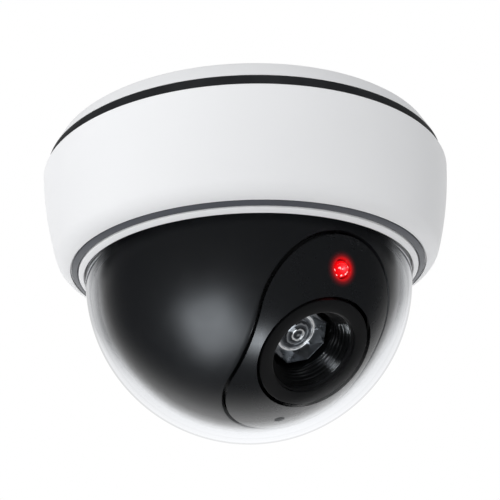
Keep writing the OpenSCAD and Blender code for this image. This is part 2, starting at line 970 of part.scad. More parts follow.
base_plate();
seal_ring();
housing();
accent_ring();
dome_ring();
clear_dome();
dome_clamp();
carrier_plate();
carrier_screws();
lead_grommet();
battery_tray();
tray_screws();
battery_left();
battery_right();
contact_springs();
contact_plates();
battery_door();
circuit_board();
board_screws();
flasher_chip();
capacitor();
resistors();
switch_body();
switch_knob();
battery_leads();
upper_leads();
liner();
lens_panel();
lens_bracket();
bracket_screws();
lens_bezel();
lens_barrel();
reflector();
lens_element();
led();
led_holder();
light_sensor();
led_leads();
sensor_leads();
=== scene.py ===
# %% [markdown]
# # A ceiling dome camera in Blender
# This lesson builds the looks of a ceiling dome camera round its CAD model. The CAD model
# gives the sizes, the places and the joints. Here each visible part is modelled again with
# rounded edges, and each gets the finish of the real material.
#
# All lengths are in metres, so a millimetre is a small number with a name.

# %% Load the CAD model
import math

import bmesh
import bpy
from mathutils import Matrix, Vector


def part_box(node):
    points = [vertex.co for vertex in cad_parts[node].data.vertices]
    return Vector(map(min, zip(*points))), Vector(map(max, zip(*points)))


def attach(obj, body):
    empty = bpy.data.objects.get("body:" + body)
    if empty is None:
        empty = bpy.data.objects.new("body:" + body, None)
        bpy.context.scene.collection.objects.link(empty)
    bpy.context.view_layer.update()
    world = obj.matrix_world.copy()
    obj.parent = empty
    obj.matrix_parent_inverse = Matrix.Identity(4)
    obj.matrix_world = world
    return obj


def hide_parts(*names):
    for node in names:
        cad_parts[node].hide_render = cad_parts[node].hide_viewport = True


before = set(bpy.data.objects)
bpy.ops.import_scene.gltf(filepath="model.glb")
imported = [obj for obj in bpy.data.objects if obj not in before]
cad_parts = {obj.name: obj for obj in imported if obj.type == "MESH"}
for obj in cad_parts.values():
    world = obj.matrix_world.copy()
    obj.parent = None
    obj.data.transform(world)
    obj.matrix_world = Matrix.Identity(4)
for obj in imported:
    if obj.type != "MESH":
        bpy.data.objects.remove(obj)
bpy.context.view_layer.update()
MM = 0.001
for node_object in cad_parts.values():
    node_object.select_set(False)

# %% [markdown]
# ## Places and sizes
# The camera hangs from the ceiling face at z = 0. The box of each CAD node says how high
# and how wide it is, so most of the sizes below are read from there. The lens looks down
# at a fixed angle, and everything round it is modelled upright and then turned into place.

# %% Read the main sizes from the frame
def low(node):
    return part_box(node)[0].z / MM


def high(node):
    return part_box(node)[1].z / MM


def radius(node):
    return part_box(node)[1].y / MM


DOME_Z = low("clear_dome") + 51.4
DOME_R = 51.4
DOME_WALL = 1.5
LINER_R = 47.5
LINER_WALL = 1.5
LENS_DOWN = math.radians(47)
LAMP_DOWN = math.radians(14.1)
LAMP_SIDE = math.radians(-2.1)
SENSOR_DOWN = math.radians(79)
SENSOR_SIDE = math.radians(3.1)
BEZEL_FACE = 43.6
print("dome centre at", round(DOME_Z, 2), "mm, housing radius", round(radius("housing"), 2), "mm")

# %% [markdown]
# ## The camera
# The camera stands below the dome and looks up at it, a little to the right of where the
# lens points. An 85 mm lens keeps the perspective gentle. It comes first, so every later
# step can be looked at.

# %% Place the camera
VIEW_TURN = math.radians(-37.7)
VIEW_RISE = math.radians(25.48)
VIEW_DISTANCE = 391 * MM
VIEW_YAW = math.radians(0.10)
VIEW_PITCH = math.radians(-3.28)
VIEW_ROLL = math.radians(2.03)
VIEW_FOCAL = 85.6
VIEW_TARGET = Vector((0, 0, -8.6 * MM))


def turned(first, second, angle):
    """Turns the pair of directions by the angle in their own plane."""
    return (math.cos(angle) * first + math.sin(angle) * second,
            math.cos(angle) * second - math.sin(angle) * first)


def add_camera():
    back = Vector((math.sin(VIEW_TURN) * math.cos(VIEW_RISE),
                   -math.cos(VIEW_TURN) * math.cos(VIEW_RISE), -math.sin(VIEW_RISE)))
    forward = -back
    right = Vector((math.cos(VIEW_TURN), math.sin(VIEW_TURN), 0))
    upward = right.cross(forward)
    forward, right = turned(forward, right, VIEW_YAW)
    forward, upward = turned(forward, upward, VIEW_PITCH)
    upward, right = turned(upward, right, VIEW_ROLL)
    data = bpy.data.cameras.new("view")
    data.lens = VIEW_FOCAL
    data.clip_start = 0.01
    data.clip_end = 20
    camera = bpy.data.objects.new("view", data)
    bpy.context.scene.collection.objects.link(camera)
    turn = Matrix((right, upward, -forward)).transposed().to_4x4()
    camera.matrix_world = Matrix.Translation(VIEW_TARGET + back * VIEW_DISTANCE) @ turn
    bpy.context.scene.camera = camera
    return camera


view_camera = add_camera()
print("camera at", [round(x, 3) for x in view_camera.location])

# %% [markdown]
# ## Tools for turned parts
# Nearly every part here is round: the housing, the rings, the dome and the lens barrel were
# moulded in turned tools. So the main tool is a lathe. A section is drawn point by point,
# each corner with its own rounding radius, and is spun once round the axis. A closed
# section gives a closed shell with a real wall, and the rounded corners catch the light as
# moulded edges do.

# %% The lathe
def deselect_all():
    if bpy.context.object and bpy.context.object.mode != "OBJECT":
        bpy.ops.object.mode_set(mode="OBJECT")
    bpy.ops.object.select_all(action="DESELECT")


def rounded(corners, steps=4):
    """Replaces each corner (r, z, rounding) of a closed section by an arc of that rounding."""
    section = []
    count = len(corners)
    for i, (r, z, rounding) in enumerate(corners):
        here = Vector((r, z))
        if rounding <= 0:
            section.append(here)
            continue
        before = Vector(corners[i - 1][:2]) - here
        after = Vector(corners[(i + 1) % count][:2]) - here
        half = before.angle(after) / 2
        reach = min(rounding / math.tan(half), 0.48 * before.length, 0.48 * after.length)
        real = reach * math.tan(half)
        middle = here + (before.normalized() + after.normalized()).normalized() * (real / math.sin(half))
        first = here + before.normalized() * reach - middle
        last = here + after.normalized() * reach - middle
        turn = first.angle_signed(last)
        for k in range(steps + 1):
            angle = -turn * k / steps
            section.append(middle + Vector((
                first.x * math.cos(angle) - first.y * math.sin(angle),
                first.x * math.sin(angle) + first.y * math.cos(angle))))
    return section


def draw_section(name, section):
    """Draws the section in the XZ plane as a chain of edges, by extruding one point along it."""
    deselect_all()
    bpy.ops.mesh.primitive_plane_add(size=MM)
    piece = bpy.context.object
    piece.name = piece.data.name = name
    bpy.ops.object.mode_set(mode="EDIT")
    bpy.ops.mesh.select_mode(type="VERT")
    bpy.ops.mesh.merge(type="CENTER")
    at = Vector((0, 0))
    for number, point in enumerate(section):
        step = (Vector(point) - at) * MM
        value = (step.x, 0, step.y)
        if number == 0:
            bpy.ops.transform.translate(value=value)
        else:
            bpy.ops.mesh.extrude_region_move(TRANSFORM_OT_translate={"value": value})
        at = Vector(point)
    return piece


def close_up(piece, smooth=32):
    """Merges doubles, points the faces outwards and smooths all but the sharp edges."""
    bpy.ops.mesh.select_all(action="SELECT")
    bpy.ops.mesh.remove_doubles(threshold=0.0004 * MM)
    bpy.ops.mesh.normals_make_consistent(inside=False)
    bpy.ops.object.mode_set(mode="OBJECT")
    bpy.ops.object.shade_smooth_by_angle(angle=math.radians(smooth))
    return piece


def lathe(name, corners, turns=128, steps=4):
    """Spins a closed section of rounded corners once round Z."""
    section = rounded(corners, steps)
    piece = draw_section(name, section + [section[0]])
    bpy.ops.mesh.select_all(action="SELECT")
    bpy.ops.mesh.spin(steps=turns, angle=2 * math.pi, center=(0, 0, 0), axis=(0, 0, 1))
    return close_up(piece)


def sector(name, corners, middle, span, steps=6):
    """Spins a closed section through part of a turn, as a lug on a ring."""
    section = rounded(corners, 2)
    piece = draw_section(name, section)
    bpy.ops.mesh.select_all(action="SELECT")
    bpy.ops.mesh.edge_face_add()
    bpy.ops.mesh.spin(steps=steps, angle=math.radians(span), center=(0, 0, 0), axis=(0, 0, 1))
    close_up(piece)
    piece.rotation_euler.z = math.radians(middle - span / 2)
    return settle(piece)


def settle(piece):
    """Bakes the object's turn and place into its mesh, so that it sits at the origin."""
    deselect_all()
    piece.select_set(True)
    bpy.context.view_layer.objects.active = piece
    bpy.ops.object.transform_apply(location=True, rotation=True, scale=True)
    return piece


def joined(name, *pieces):
    """Joins pieces that are moulded as one."""
    deselect_all()
    for piece in pieces:
        piece.select_set(True)
    bpy.context.view_layer.objects.active = pieces[0]
    bpy.ops.object.join()
    pieces[0].name = pieces[0].data.name = name
    return pieces[0]


def apply_modifier(piece, kind, **settings):
    """Adds a modifier, sets it up and applies it."""
    deselect_all()
    piece.select_set(True)
    bpy.context.view_layer.objects.active = piece
    modifier = piece.modifiers.new(kind.lower(), kind)
    for key, value in settings.items():
        setattr(modifier, key, value)
    bpy.ops.object.modifier_apply(modifier=modifier.name)
    return piece


def cut(piece, tool, keep_tool=False):
    """Takes the tool's shape out of the piece."""
    apply_modifier(piece, "BOOLEAN", operation="DIFFERENCE", object=tool, solver="EXACT")
    if not keep_tool:
        bpy.data.objects.remove(tool)
    return piece


def along_ray(piece, down, side=0.0):
    """Turns a piece modelled upright at the origin so that its +Z looks out of the dome."""
    turn = Matrix.Rotation(math.pi / 2 + down, 4, "X") @ Matrix.Rotation(side, 4, "Y")
    piece.matrix_world = Matrix.Translation((0, 0, DOME_Z * MM)) @ turn
    return settle(piece)


def mounted(piece, body, slot, finish, *nodes):
    """Gives a finished piece its finish and its body, and hides the CAD nodes that it stands for."""
    piece.data.materials.clear()
    piece.data.materials.append(finish)
    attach(piece, body)
    if nodes:
        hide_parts(*nodes)
    print(piece.name, len(piece.data.polygons), "faces")
    return piece


# %% [markdown]
# ## Finishes
# Each finish is named for the real material. Colours are written as hex values, as a paint
# chart gives them, and one function turns them to the linear values that the shader needs.
# One small function adds a node with its settings and its links.

# %% Helpers for finishes
def hex_colour(code):
    """A hex colour such as '#D0D2D5' as linear red, green, blue and alpha."""
    channels = [int(code[i:i + 2], 16) / 255 for i in (1, 3, 5)]
    return [c / 12.92 if c <= 0.04045 else ((c + 0.055) / 1.055) ** 2.4 for c in channels] + [1.0]


def add_node(tree, kind, settings=None, links=None):
    """Adds a node, sets its properties and inputs, and links other sockets into it."""
    new = tree.nodes.new(kind)
    for key, value in (settings or {}).items():
        if isinstance(key, int) or key in new.inputs:
            new.inputs[key].default_value = value
        else:
            setattr(new, key, value)
    for key, socket in (links or {}).items():
        tree.links.new(socket, new.inputs[key])
    return new


def new_finish(name, **settings):
    """A material with one main shader. Values that are the same all over go on its sockets."""
    finish = bpy.data.materials.new(name)
    finish.use_nodes = True
    tree = finish.node_tree
    shader = tree.nodes["Principled BSDF"]
    for key, value in settings.items():
        socket = key.replace("_", " ")
        shader.inputs[{"base": "Base Color"}.get(key, socket)].default_value = value
    place = add_node(tree, "ShaderNodeTexCoord").outputs["Object"]
    return finish, tree, shader, place


def ramp(tree, source, stops):
    """A colour ramp over the source, with the given (position, colour) stops."""
    new = add_node(tree, "ShaderNodeValToRGB", links={"Fac": source})
    elements = new.color_ramp.elements
    while len(elements) < len(stops):
        elements.new(0.5)
    for element, (position, colour) in zip(elements, stops):
        element.position = position
        element.color = colour
    return new.outputs["Color"]


def grey(value):
    return (value, value, value, 1)


def spread(tree, source, from_low, from_high, to_low, to_high):
    """Maps the source from one range to another."""
    return add_node(tree, "ShaderNodeMapRange", {
        "From Min": from_low, "From Max": from_high, "To Min": to_low, "To Max": to_high,
    }, {"Value": source}).outputs["Result"]


def noise(tree, place, size_mm, detail=3.0):
    """Cloudy noise whose features are about size_mm across."""
    return add_node(tree, "ShaderNodeTexNoise", {
        "Scale": 1 / (size_mm * MM), "Detail": detail, "Roughness": 0.55,
    }, {"Vector": place}).outputs["Fac"]


def bumped(tree, shader, height, depth_mm, strength=1.0):
    """Lets a height pattern tilt the surface."""
    bump = add_node(tree, "ShaderNodeBump", {"Strength": strength, "Distance": depth_mm * MM},
                    {"Height": height})
    tree.links.new(bump.outputs["Normal"], shader.inputs["Normal"])
    return bump


# %% [markdown]
# ### Moulded ABS
# The housing is white ABS from a lightly polished steel tool. The eye sees a soft gloss with
# a very slight orange-peel ripple, and almost no colour change. The black inner parts come
# from a spark-eroded tool, whose fine grain spreads each highlight into a haze.

# %% White, grey and black plastics
def moulded_abs(name, colour, roughness, grain_mm, grain_depth_mm, mottle=0.04, **settings):
    """Moulded ABS: a tint that drifts slightly, a fine grain and a soft gloss."""
    finish, tree, shader, place = new_finish(name, Roughness=roughness, **settings)
    shader.inputs["IOR"].default_value = 1.54
    base = hex_colour(colour)
    drift = noise(tree, place, 40, 2.0)
    darker = [c * (1 - mottle) for c in base[:3]] + [1]
    lighter = [min(1, c * (1 + mottle)) for c in base[:3]] + [1]
    tint = ramp(tree, drift, [(0.3, darker), (0.7, lighter)])
    tree.links.new(tint, shader.inputs["Base Color"])
    grain = noise(tree, place, grain_mm, 2.0)
    gloss = spread(tree, noise(tree, place, 6, 4.0), 0.3, 0.7, roughness * 0.93, roughness * 1.07)
    tree.links.new(gloss, shader.inputs["Roughness"])
    bumped(tree, shader, grain, grain_depth_mm)
    return finish


white_abs = moulded_abs("white_abs_moulded", "#EFF0F2", 0.38, 2.5, 0.004, mottle=0.01)
plate_abs = moulded_abs("white_abs_plate", "#E6E7E9", 0.45, 1.2, 0.004, mottle=0.01)
grey_abs = moulded_abs("grey_abs_moulded", "#565960", 0.42, 0.8, 0.003)
liner_abs = moulded_abs("black_abs_eroded", "#16181C", 0.34, 0.35, 0.006)
panel_abs = moulded_abs("black_abs_panel", "#17191C", 0.28, 1.4, 0.002)
matt_abs = moulded_abs("black_abs_matt", "#131416", 0.36, 0.3, 0.006)
gloss_abs = moulded_abs("black_abs_gloss", "#0C0D0E", 0.16, 0.5, 0.002)
inner_abs = moulded_abs("black_abs_inner", "#161718", 0.5, 0.5, 0.005)
print("plastics:", white_abs.name, liner_abs.name)

# %% [markdown]
# ### Rubber
# The ring between the ceiling plate and the housing is a dark grey moulded rubber. It has
# a dull surface with a faint powdery bloom.

# %% Rubber
def moulded_rubber(name, colour, roughness):
    finish, tree, shader, place = new_finish(name, Roughness=roughness)
    shader.inputs["IOR"].default_value = 1.52
    base = hex_colour(colour)
    bloom = [min(1, c * 1.25 + 0.004) for c in base[:3]] + [1]
    tint = ramp(tree, noise(tree, place, 9, 4.0), [(0.35, base), (0.75, bloom)])
    tree.links.new(tint, shader.inputs["Base Color"])
    bumped(tree, shader, noise(tree, place, 0.6, 3.0), 0.01)
    return finish


seal_rubber = moulded_rubber("rubber_seal_grey", "#212327", 0.62)
grommet_rubber = moulded_rubber("rubber_black", "#1B1B1C", 0.6)

# %% [markdown]
# ### Clear polycarbonate
# The dome is a thin clear shell. What the eye sees of it is almost only its reflections,
# weak where it is looked through straight on and strong towards its outline. A true glass
# shader would make the inside noisy and dark, so this finish is a clear coat of
# reflections. Layer Weight says how much the surface is turned away: the coat starts near
# nothing and grows fast where the thick wall is seen at a slant. The reflection's colour is
# painted greyer towards the outline, and at the very outline a thin grey line of painted shade.

# %% Clear polycarbonate
def clear_polycarbonate(name, face_on):
    finish, tree, shader, place = new_finish(name, Roughness=0.03, Metallic=1.0)
    facing = add_node(tree, "ShaderNodeLayerWeight", {"Blend": 0.5}).outputs["Facing"]
    cover = ramp(tree, facing, [(0.0, grey(face_on)), (0.38, grey(face_on)), (0.54, grey(0.04)),
                                (0.61, grey(0.26)), (0.66, grey(0.65)), (0.78, grey(0.85)), (0.88, grey(1))])
    tree.links.new(cover, shader.inputs["Alpha"])
    # painted shade: the reflection's colour is painted greyer towards the outline and dark grey at the very
    # outline
    tint = ramp(tree, facing, [(0.0, hex_colour("#E6E8EA")), (0.6, hex_colour("#DCDEE1")),
                               (0.83, hex_colour("#D2D4D8")), (0.88, hex_colour("#85898E")),
                               (0.92, hex_colour("#3A3E42"))])
    tree.links.new(tint, shader.inputs["Base Color"])
    bumped(tree, shader, noise(tree, place, 18, 1.0), 0.01)
    return finish


dome_clear = clear_polycarbonate("polycarbonate_clear", 0.0)

# %% [markdown]
# ## Housing
# The housing is one white shell. Its side is a very long curve that ends in a rounder foot,
# and its wall is 2 mm thick. The side curve is one circle arc centred at the ceiling's
# level, so it is worked out by a formula and not drawn by eye.

# %% Housing
WALL = 2.0
SIDE_CURVE_R = 111
WIDE_Z = -4
FOOT_CURVE_R = 7
LIP_R = 0.5
BODY_R = 65.3
HOUSING_TOP = high("housing")
HOUSING_LOW = DOME_Z + 2.5
FOOT_R = BODY_R - 9.1
FLANGE_Z = DOME_Z + 4.6
TURN_Z = DOME_Z + 7.1


def side_sag(z):
    """How far the side has curved in at height z."""
    return SIDE_CURVE_R - math.sqrt(SIDE_CURVE_R ** 2 - (z - WIDE_Z) ** 2)


def side_radius(z):
    """The housing's outer radius at height z."""
    return BODY_R + side_sag(HOUSING_TOP - LIP_R) - side_sag(z)


def arc_points(centre, size, first, last, steps):
    """Points on an arc, as sharp corners of a section. Angles are in degrees."""
    points = []
    for k in range(steps + 1):
        angle = math.radians(first + (last - first) * k / steps)
        points.append((centre[0] + size * math.cos(angle), centre[1] + size * math.sin(angle), 0))
    return points


def housing_section():
    slope = math.degrees(math.asin((WIDE_Z - TURN_Z) / SIDE_CURVE_R))
    foot_x = side_radius(TURN_Z) - FOOT_CURVE_R * math.cos(math.radians(slope))
    foot_z = TURN_Z + FOOT_CURVE_R * math.sin(math.radians(slope))
    end = -math.degrees(math.atan2(foot_z - HOUSING_LOW, FOOT_R - foot_x))
    top_r = BODY_R - LIP_R
    outside = [(top_r - WALL, HOUSING_TOP, 0.4)]
    outside += arc_points((top_r, HOUSING_TOP - LIP_R), LIP_R, 90, 0, 8)
    steps = 14
    first, last = HOUSING_TOP - LIP_R - 1, TURN_Z + 1
    for k in range(steps + 1):
        z = first + (last - first) * k / steps
        outside.append((side_radius(z), z, 0))
    outside += arc_points((foot_x, foot_z), FOOT_CURVE_R, -slope, end, 12)
    seat = [(FOOT_R - 0.02, HOUSING_LOW + 0.08, 0.18), (FOOT_R - 0.1, HOUSING_LOW + 0.7, 0.1),
            (FOOT_R - 1.2, HOUSING_LOW + 0.7, 0), (FOOT_R - 1.2, FLANGE_Z, 0.1),
            (FOOT_R + 0.6, FLANGE_Z, 0.2), (FOOT_R + 0.6, FLANGE_Z + 1.3, 0.3)]
    inside = []
    steps = 8
    first, last = TURN_Z, HOUSING_TOP - 4
    for k in range(steps + 1):
        z = first + (last - first) * k / steps
        inside.append((side_radius(z) - WALL, z, 0))
    return outside + seat + inside


housing = lathe("housing_shell", housing_section(), turns=192)
LUG_COUNT = 3
LUG_SPAN = 16
SPIGOT_R = BODY_R - 5.8
lugs = []
for number in range(LUG_COUNT):
    turn = 360 * number / LUG_COUNT
    lugs.append(sector("housing_lug", [
        (SPIGOT_R + 0.4, HOUSING_TOP, 0.2), (BODY_R - 2.5, HOUSING_TOP - 0.05, 0),
        (BODY_R - 2.5, HOUSING_TOP - 2.3, 0), (SPIGOT_R + 0.4, HOUSING_TOP - 2.3, 0.3)], turn, LUG_SPAN))
housing = joined("housing_shell", housing, *lugs)
mounted(housing, "camera", "white_abs", white_abs, "housing")

# %% [markdown]
# ## Rings round the housing
# A dark seal sits between the ceiling plate and the housing, a grey ring lies under the
# housing's foot, and a thin white ring lets the dome through. All three are turned parts
# with small rounded edges. The thin dark lines between them are real gaps.

# %% Seal, grey ring and white ring
SKIRT_Z = high("seal_ring")
SEAL_LOW_Z = low("seal_ring")
PLATE_LOW_R = BODY_R - 1.3
seal = lathe("seal_band", [
    (SPIGOT_R + 0.1, SKIRT_Z, 0.1), (PLATE_LOW_R - 0.05, SKIRT_Z - 0.02, 0.15),
    (BODY_R - 0.62, SEAL_LOW_Z, 0.2), (SPIGOT_R + 0.1, SEAL_LOW_Z, 0.1)], turns=192)
mounted(seal, "ceiling_plate", "dark_rubber", seal_rubber, "seal_ring")

ACCENT_IN_R = FOOT_R - 2.4
accent = lathe("accent_band", [
    (FOOT_R - 0.5, HOUSING_LOW - 0.02, 0.2), (ACCENT_IN_R + 0.08, HOUSING_LOW - 1.05, 0.3),
    (ACCENT_IN_R, FLANGE_Z, 0.1), (FOOT_R - 1.3, FLANGE_Z, 0.1),
    (FOOT_R - 1.3, HOUSING_LOW + 0.6, 0), (FOOT_R - 0.5, HOUSING_LOW + 0.6, 0.1)], turns=192)
mounted(accent, "camera", "grey_abs", grey_abs, "accent_ring")

trim = lathe("dome_trim", [
    (ACCENT_IN_R - 0.2, HOUSING_LOW - 1.22, 0.2), (DOME_R + 0.5, DOME_Z + 0.25, 0.2),
    (DOME_R + 0.45, DOME_Z + 0.9, 0.05), (DOME_R + 0.15, DOME_Z + 1.2, 0.05), (DOME_R + 0.15, FLANGE_Z, 0.1),
    (ACCENT_IN_R - 0.12, FLANGE_Z, 0.1), (ACCENT_IN_R - 0.12, HOUSING_LOW + 0.4, 0.05),
    (ACCENT_IN_R - 0.2, HOUSING_LOW + 0.3, 0.05)], turns=192)
mounted(trim, "camera", "white_abs", white_abs, "dome_ring")

# %% [markdown]
# ## Ceiling plate
# The plate that is screwed to the ceiling is a shallow white disc with a conical rim. Its
# back has a hub, a rim and ribs that touch the ceiling, with shallow pockets between them,
# because a thick flat disc would sink as it cools in the tool. The pockets are made by
# selecting faces by their place and extruding them down.

# %% Ceiling plate
PLATE_TOP_R = BODY_R - 5
PLATE_T = 3.0
POCKET_DEPTH = 1.2
HUB_R = 11.0
MIDDLE_R = (30.0, 32.0)
RIM_LAND_R = 52.0
SPIGOT_LOW = low("base_plate")
RIB_COUNT = 8


def select_faces(piece, chosen):
    """In edit mode, selects just the faces whose centre and normal satisfy the test."""
    bpy.ops.object.mode_set(mode="EDIT")
    bpy.ops.mesh.select_mode(type="FACE")
    bpy.ops.mesh.select_all(action="DESELECT")
    mesh = bmesh.from_edit_mesh(piece.data)
    count = 0
    for face in mesh.faces:
        face.select = bool(chosen(face.calc_center_median() / MM, face.normal))
        count += face.select
    bmesh.update_edit_mesh(piece.data)
    return count


def in_pocket(centre, normal):
    """True for a face of the flat back that lies between the ribs."""
    if normal.z < 0.9 or centre.z < -0.05:
        return False
    r = math.hypot(centre.x, centre.y)
    angle = math.degrees(math.atan2(centre.y, centre.x)) % (360 / RIB_COUNT)
    away = min(angle, 360 / RIB_COUNT - angle) / 180 * math.pi * r
    between = HUB_R < r < MIDDLE_R[0] or MIDDLE_R[1] < r < RIM_LAND_R
    return between and away > 1.1


plate = lathe("ceiling_plate_disc", [
    (0, 0, 0), (HUB_R, 0, 0), (16, 0, 0), (22, 0, 0), (MIDDLE_R[0], 0, 0), (MIDDLE_R[1], 0, 0),
    (38, 0, 0), (45, 0, 0), (RIM_LAND_R, 0, 0), (PLATE_TOP_R, 0, 0.7),
    (PLATE_TOP_R + 0.85, -0.75, 0.7), (PLATE_LOW_R, SKIRT_Z, 0.2), (SPIGOT_R, SKIRT_Z, 0),
    (SPIGOT_R, SPIGOT_LOW, 0.4),
    (SPIGOT_R - 2.2, SPIGOT_LOW, 0.4), (SPIGOT_R - 2.2, -PLATE_T, 0.6), (0, -PLATE_T, 0)], turns=320)
pocket_faces = select_faces(plate, in_pocket)
bpy.ops.mesh.extrude_region_move(TRANSFORM_OT_translate={"value": (0, 0, -POCKET_DEPTH * MM)})
bpy.ops.object.mode_set(mode="OBJECT")
print("pocket faces:", pocket_faces)

# %% [markdown]
# ### Screw holes of the ceiling plate
# Two screws hold the plate to the ceiling. Each hole goes down through a short boss, so that
# the thin plate doesn't give way under the screw's head. A hole is a clean cut through a
# flat part, where a boolean works well. The bosses are turned on the lathe and joined on.

# %% Screw holes and bosses
SCREW_AT = 40
SCREW_HOLE_R = 2.25
BOSS_R = 5
BOSS_TOP = -1
BOSS_LOW = -4.5
PAST_PLATE = -9
for side in (-1, 1):
    drill_bit = lathe("drill_bit", [(0, PAST_PLATE, 0), (SCREW_HOLE_R, PAST_PLATE, 0),
                                    (SCREW_HOLE_R, 1, 0), (0, 1, 0)], turns=48)
    drill_bit.location.x = side * SCREW_AT * MM
    cut(plate, settle(drill_bit))
bosses = []
for side in (-1, 1):
    boss = lathe("boss", [(SCREW_HOLE_R, BOSS_TOP, 0), (BOSS_R, BOSS_TOP, 0), (BOSS_R, BOSS_LOW, 0.4),
                          (SCREW_HOLE_R, BOSS_LOW, 0.3)], turns=48)
    boss.location.x = side * SCREW_AT * MM
    bosses.append(settle(boss))
joined("ceiling_plate_disc", plate, *bosses)
mounted(plate, "ceiling_plate", "white_abs", plate_abs, "base_plate")

# %% [markdown]
# ## Clear dome
# The dome is a half sphere with a short straight neck and a flange that is clamped inside
# the housing. It is one closed section with an outer and an inner arc, so the wall has its
# real thickness.

# %% Clear dome
dome_section = arc_points((0, DOME_Z), DOME_R, -90, 0, 40)
FLANGE_R = FOOT_R + 0.4
FLANGE_TOP = FLANGE_Z + DOME_WALL
dome_section += [(DOME_R, FLANGE_Z, 0.3), (FLANGE_R, FLANGE_Z, 0.2), (FLANGE_R, FLANGE_TOP, 0.2),
                 (DOME_R - DOME_WALL, FLANGE_TOP, 0.2)]
dome_section += arc_points((0, DOME_Z), DOME_R - DOME_WALL, 0, -90, 40)
dome = lathe("dome_shell", dome_section, turns=192)
mounted(dome, "camera", "clear_polycarbonate", dome_clear, "clear_dome")
# the parts inside are lit as through open air, which keeps the render free of grain
dome.visible_glossy = False
dome.visible_diffuse = False
dome.visible_shadow = False

# %% [markdown]
# ## Liner
# The black liner is a thin half sphere with one long opening for the lens panel. A boolean
# would leave ragged facets round the opening, and they would show in the soft gloss. So the
# opening's edge is drawn first, the half sphere's rim is drawn second, and the two are
# bridged with many cuts. A Cast modifier then pushes every point out onto the sphere.

# %% Outline of the lens panel
PANEL_TOP = (11.1, 22.6)
PANEL_LOW = (-11.5, 20.6)
GROOVE = 0.95
RING_POINTS = 192


def panel_outline(grow):
    """The outline, seen along the lens, at equal angles round the lens: two arcs and two tangents."""
    top_v, top_r = PANEL_TOP[0], PANEL_TOP[1] + grow
    low_v, low_r = PANEL_LOW[0], PANEL_LOW[1] + grow
    lean = math.asin((top_r - low_r) / (top_v - low_v))
    outline = []
    for k in range(RING_POINTS):
        angle = 2 * math.pi * k / RING_POINTS
        ray = Vector((math.sin(angle), math.cos(angle)))
        reach = 0
        for v, r in ((top_v, top_r), (low_v, low_r)):
            along = ray.y * v
            across = r * r - v * v + along * along
            if across > 0:
                reach = max(reach, along + math.sqrt(across))
        # the tangent line on each side
        side = Vector((math.cos(lean) * math.copysign(1, ray.x), -math.sin(lean)))
        offset = side.y * top_v + top_r
        facing = ray.dot(side)
        if facing > 1e-6:
            at = ray * (offset / facing)
            upper = top_v + top_r * side.y
            lower = low_v + low_r * side.y
            if lower <= at.y <= upper:
                reach = offset / facing
        outline.append(ray * reach)
    return outline


def on_sphere(points, r):
    """Lifts flat points onto the sphere of radius r, along the lens axis."""
    return [Vector((p.x, p.y, math.sqrt(r * r - p.length_squared))) for p in points]


def draw_loop(piece, points):
    """In edit mode, draws a closed loop of edges through the points and leaves it selected."""
    bpy.ops.mesh.select_all(action="DESELECT")
    mesh = bmesh.from_edit_mesh(piece.data)
    ring = [mesh.verts.new(p * MM) for p in points]
    for k, vert in enumerate(ring):
        edge = mesh.edges.new((vert, ring[(k + 1) % len(ring)]))
        edge.select = True
        vert.select = True
    bmesh.update_edit_mesh(piece.data)


def start_shell(name):
    """An empty mesh in edit mode, ready for loops."""
    deselect_all()
    bpy.ops.mesh.primitive_plane_add(size=MM)
    piece = bpy.context.object
    piece.name = piece.data.name = name
    bpy.ops.object.mode_set(mode="EDIT")
    bpy.ops.mesh.select_mode(type="VERT")
    bpy.ops.mesh.delete(type="VERT")
    return piece


TO_WORLD = Matrix.Rotation(math.pi / 2 + LENS_DOWN, 3, "X")


def to_lens(point):
    """A direction in the object's frame, seen from the lens's own frame."""
    return TO_WORLD.transposed() @ point


# %% [markdown]
# ### The shell between the two loops
# Both loops have the same number of points, taken at the same angles, so each edge of the
# bridge runs straight from one to the other. The rim then grows upwards as a neck and
# outwards as the flat track on which the liner turns.

# %% Liner shell
def rim_points():
    """The half sphere's rim in the lens's frame, one point for each point of the outline."""
    points = []
    for k in range(RING_POINTS):
        angle = 2 * math.pi * k / RING_POINTS
        points.append(to_lens(Vector((math.sin(angle), -math.cos(angle), 0)) * LINER_R))
    return points


def bridge_selected(cuts):
    bpy.ops.mesh.bridge_edge_loops(number_cuts=cuts, interpolation="LINEAR", smoothness=0)


liner = start_shell("liner_shell")
draw_loop(liner, on_sphere(panel_outline(GROOVE), LINER_R))
draw_loop(liner, rim_points())
bpy.ops.mesh.select_all(action="SELECT")
bridge_selected(36)
bpy.ops.object.mode_set(mode="OBJECT")
apply_modifier(liner, "CAST", cast_type="SPHERE", factor=1.0, radius=0.0, size=LINER_R * MM,
               use_radius_as_size=False)
along_ray(liner, LENS_DOWN)


def select_rim(piece, z):
    """Selects the open rim at height z."""
    bpy.ops.object.mode_set(mode="EDIT")
    bpy.ops.mesh.select_mode(type="EDGE")
    bpy.ops.mesh.select_all(action="DESELECT")
    mesh = bmesh.from_edit_mesh(piece.data)
    for edge in mesh.edges:
        if edge.is_boundary and all(abs(v.co.z / MM - z) < 0.01 for v in edge.verts):
            edge.select = True
            for vert in edge.verts:
                vert.select = True
    bmesh.update_edit_mesh(piece.data)


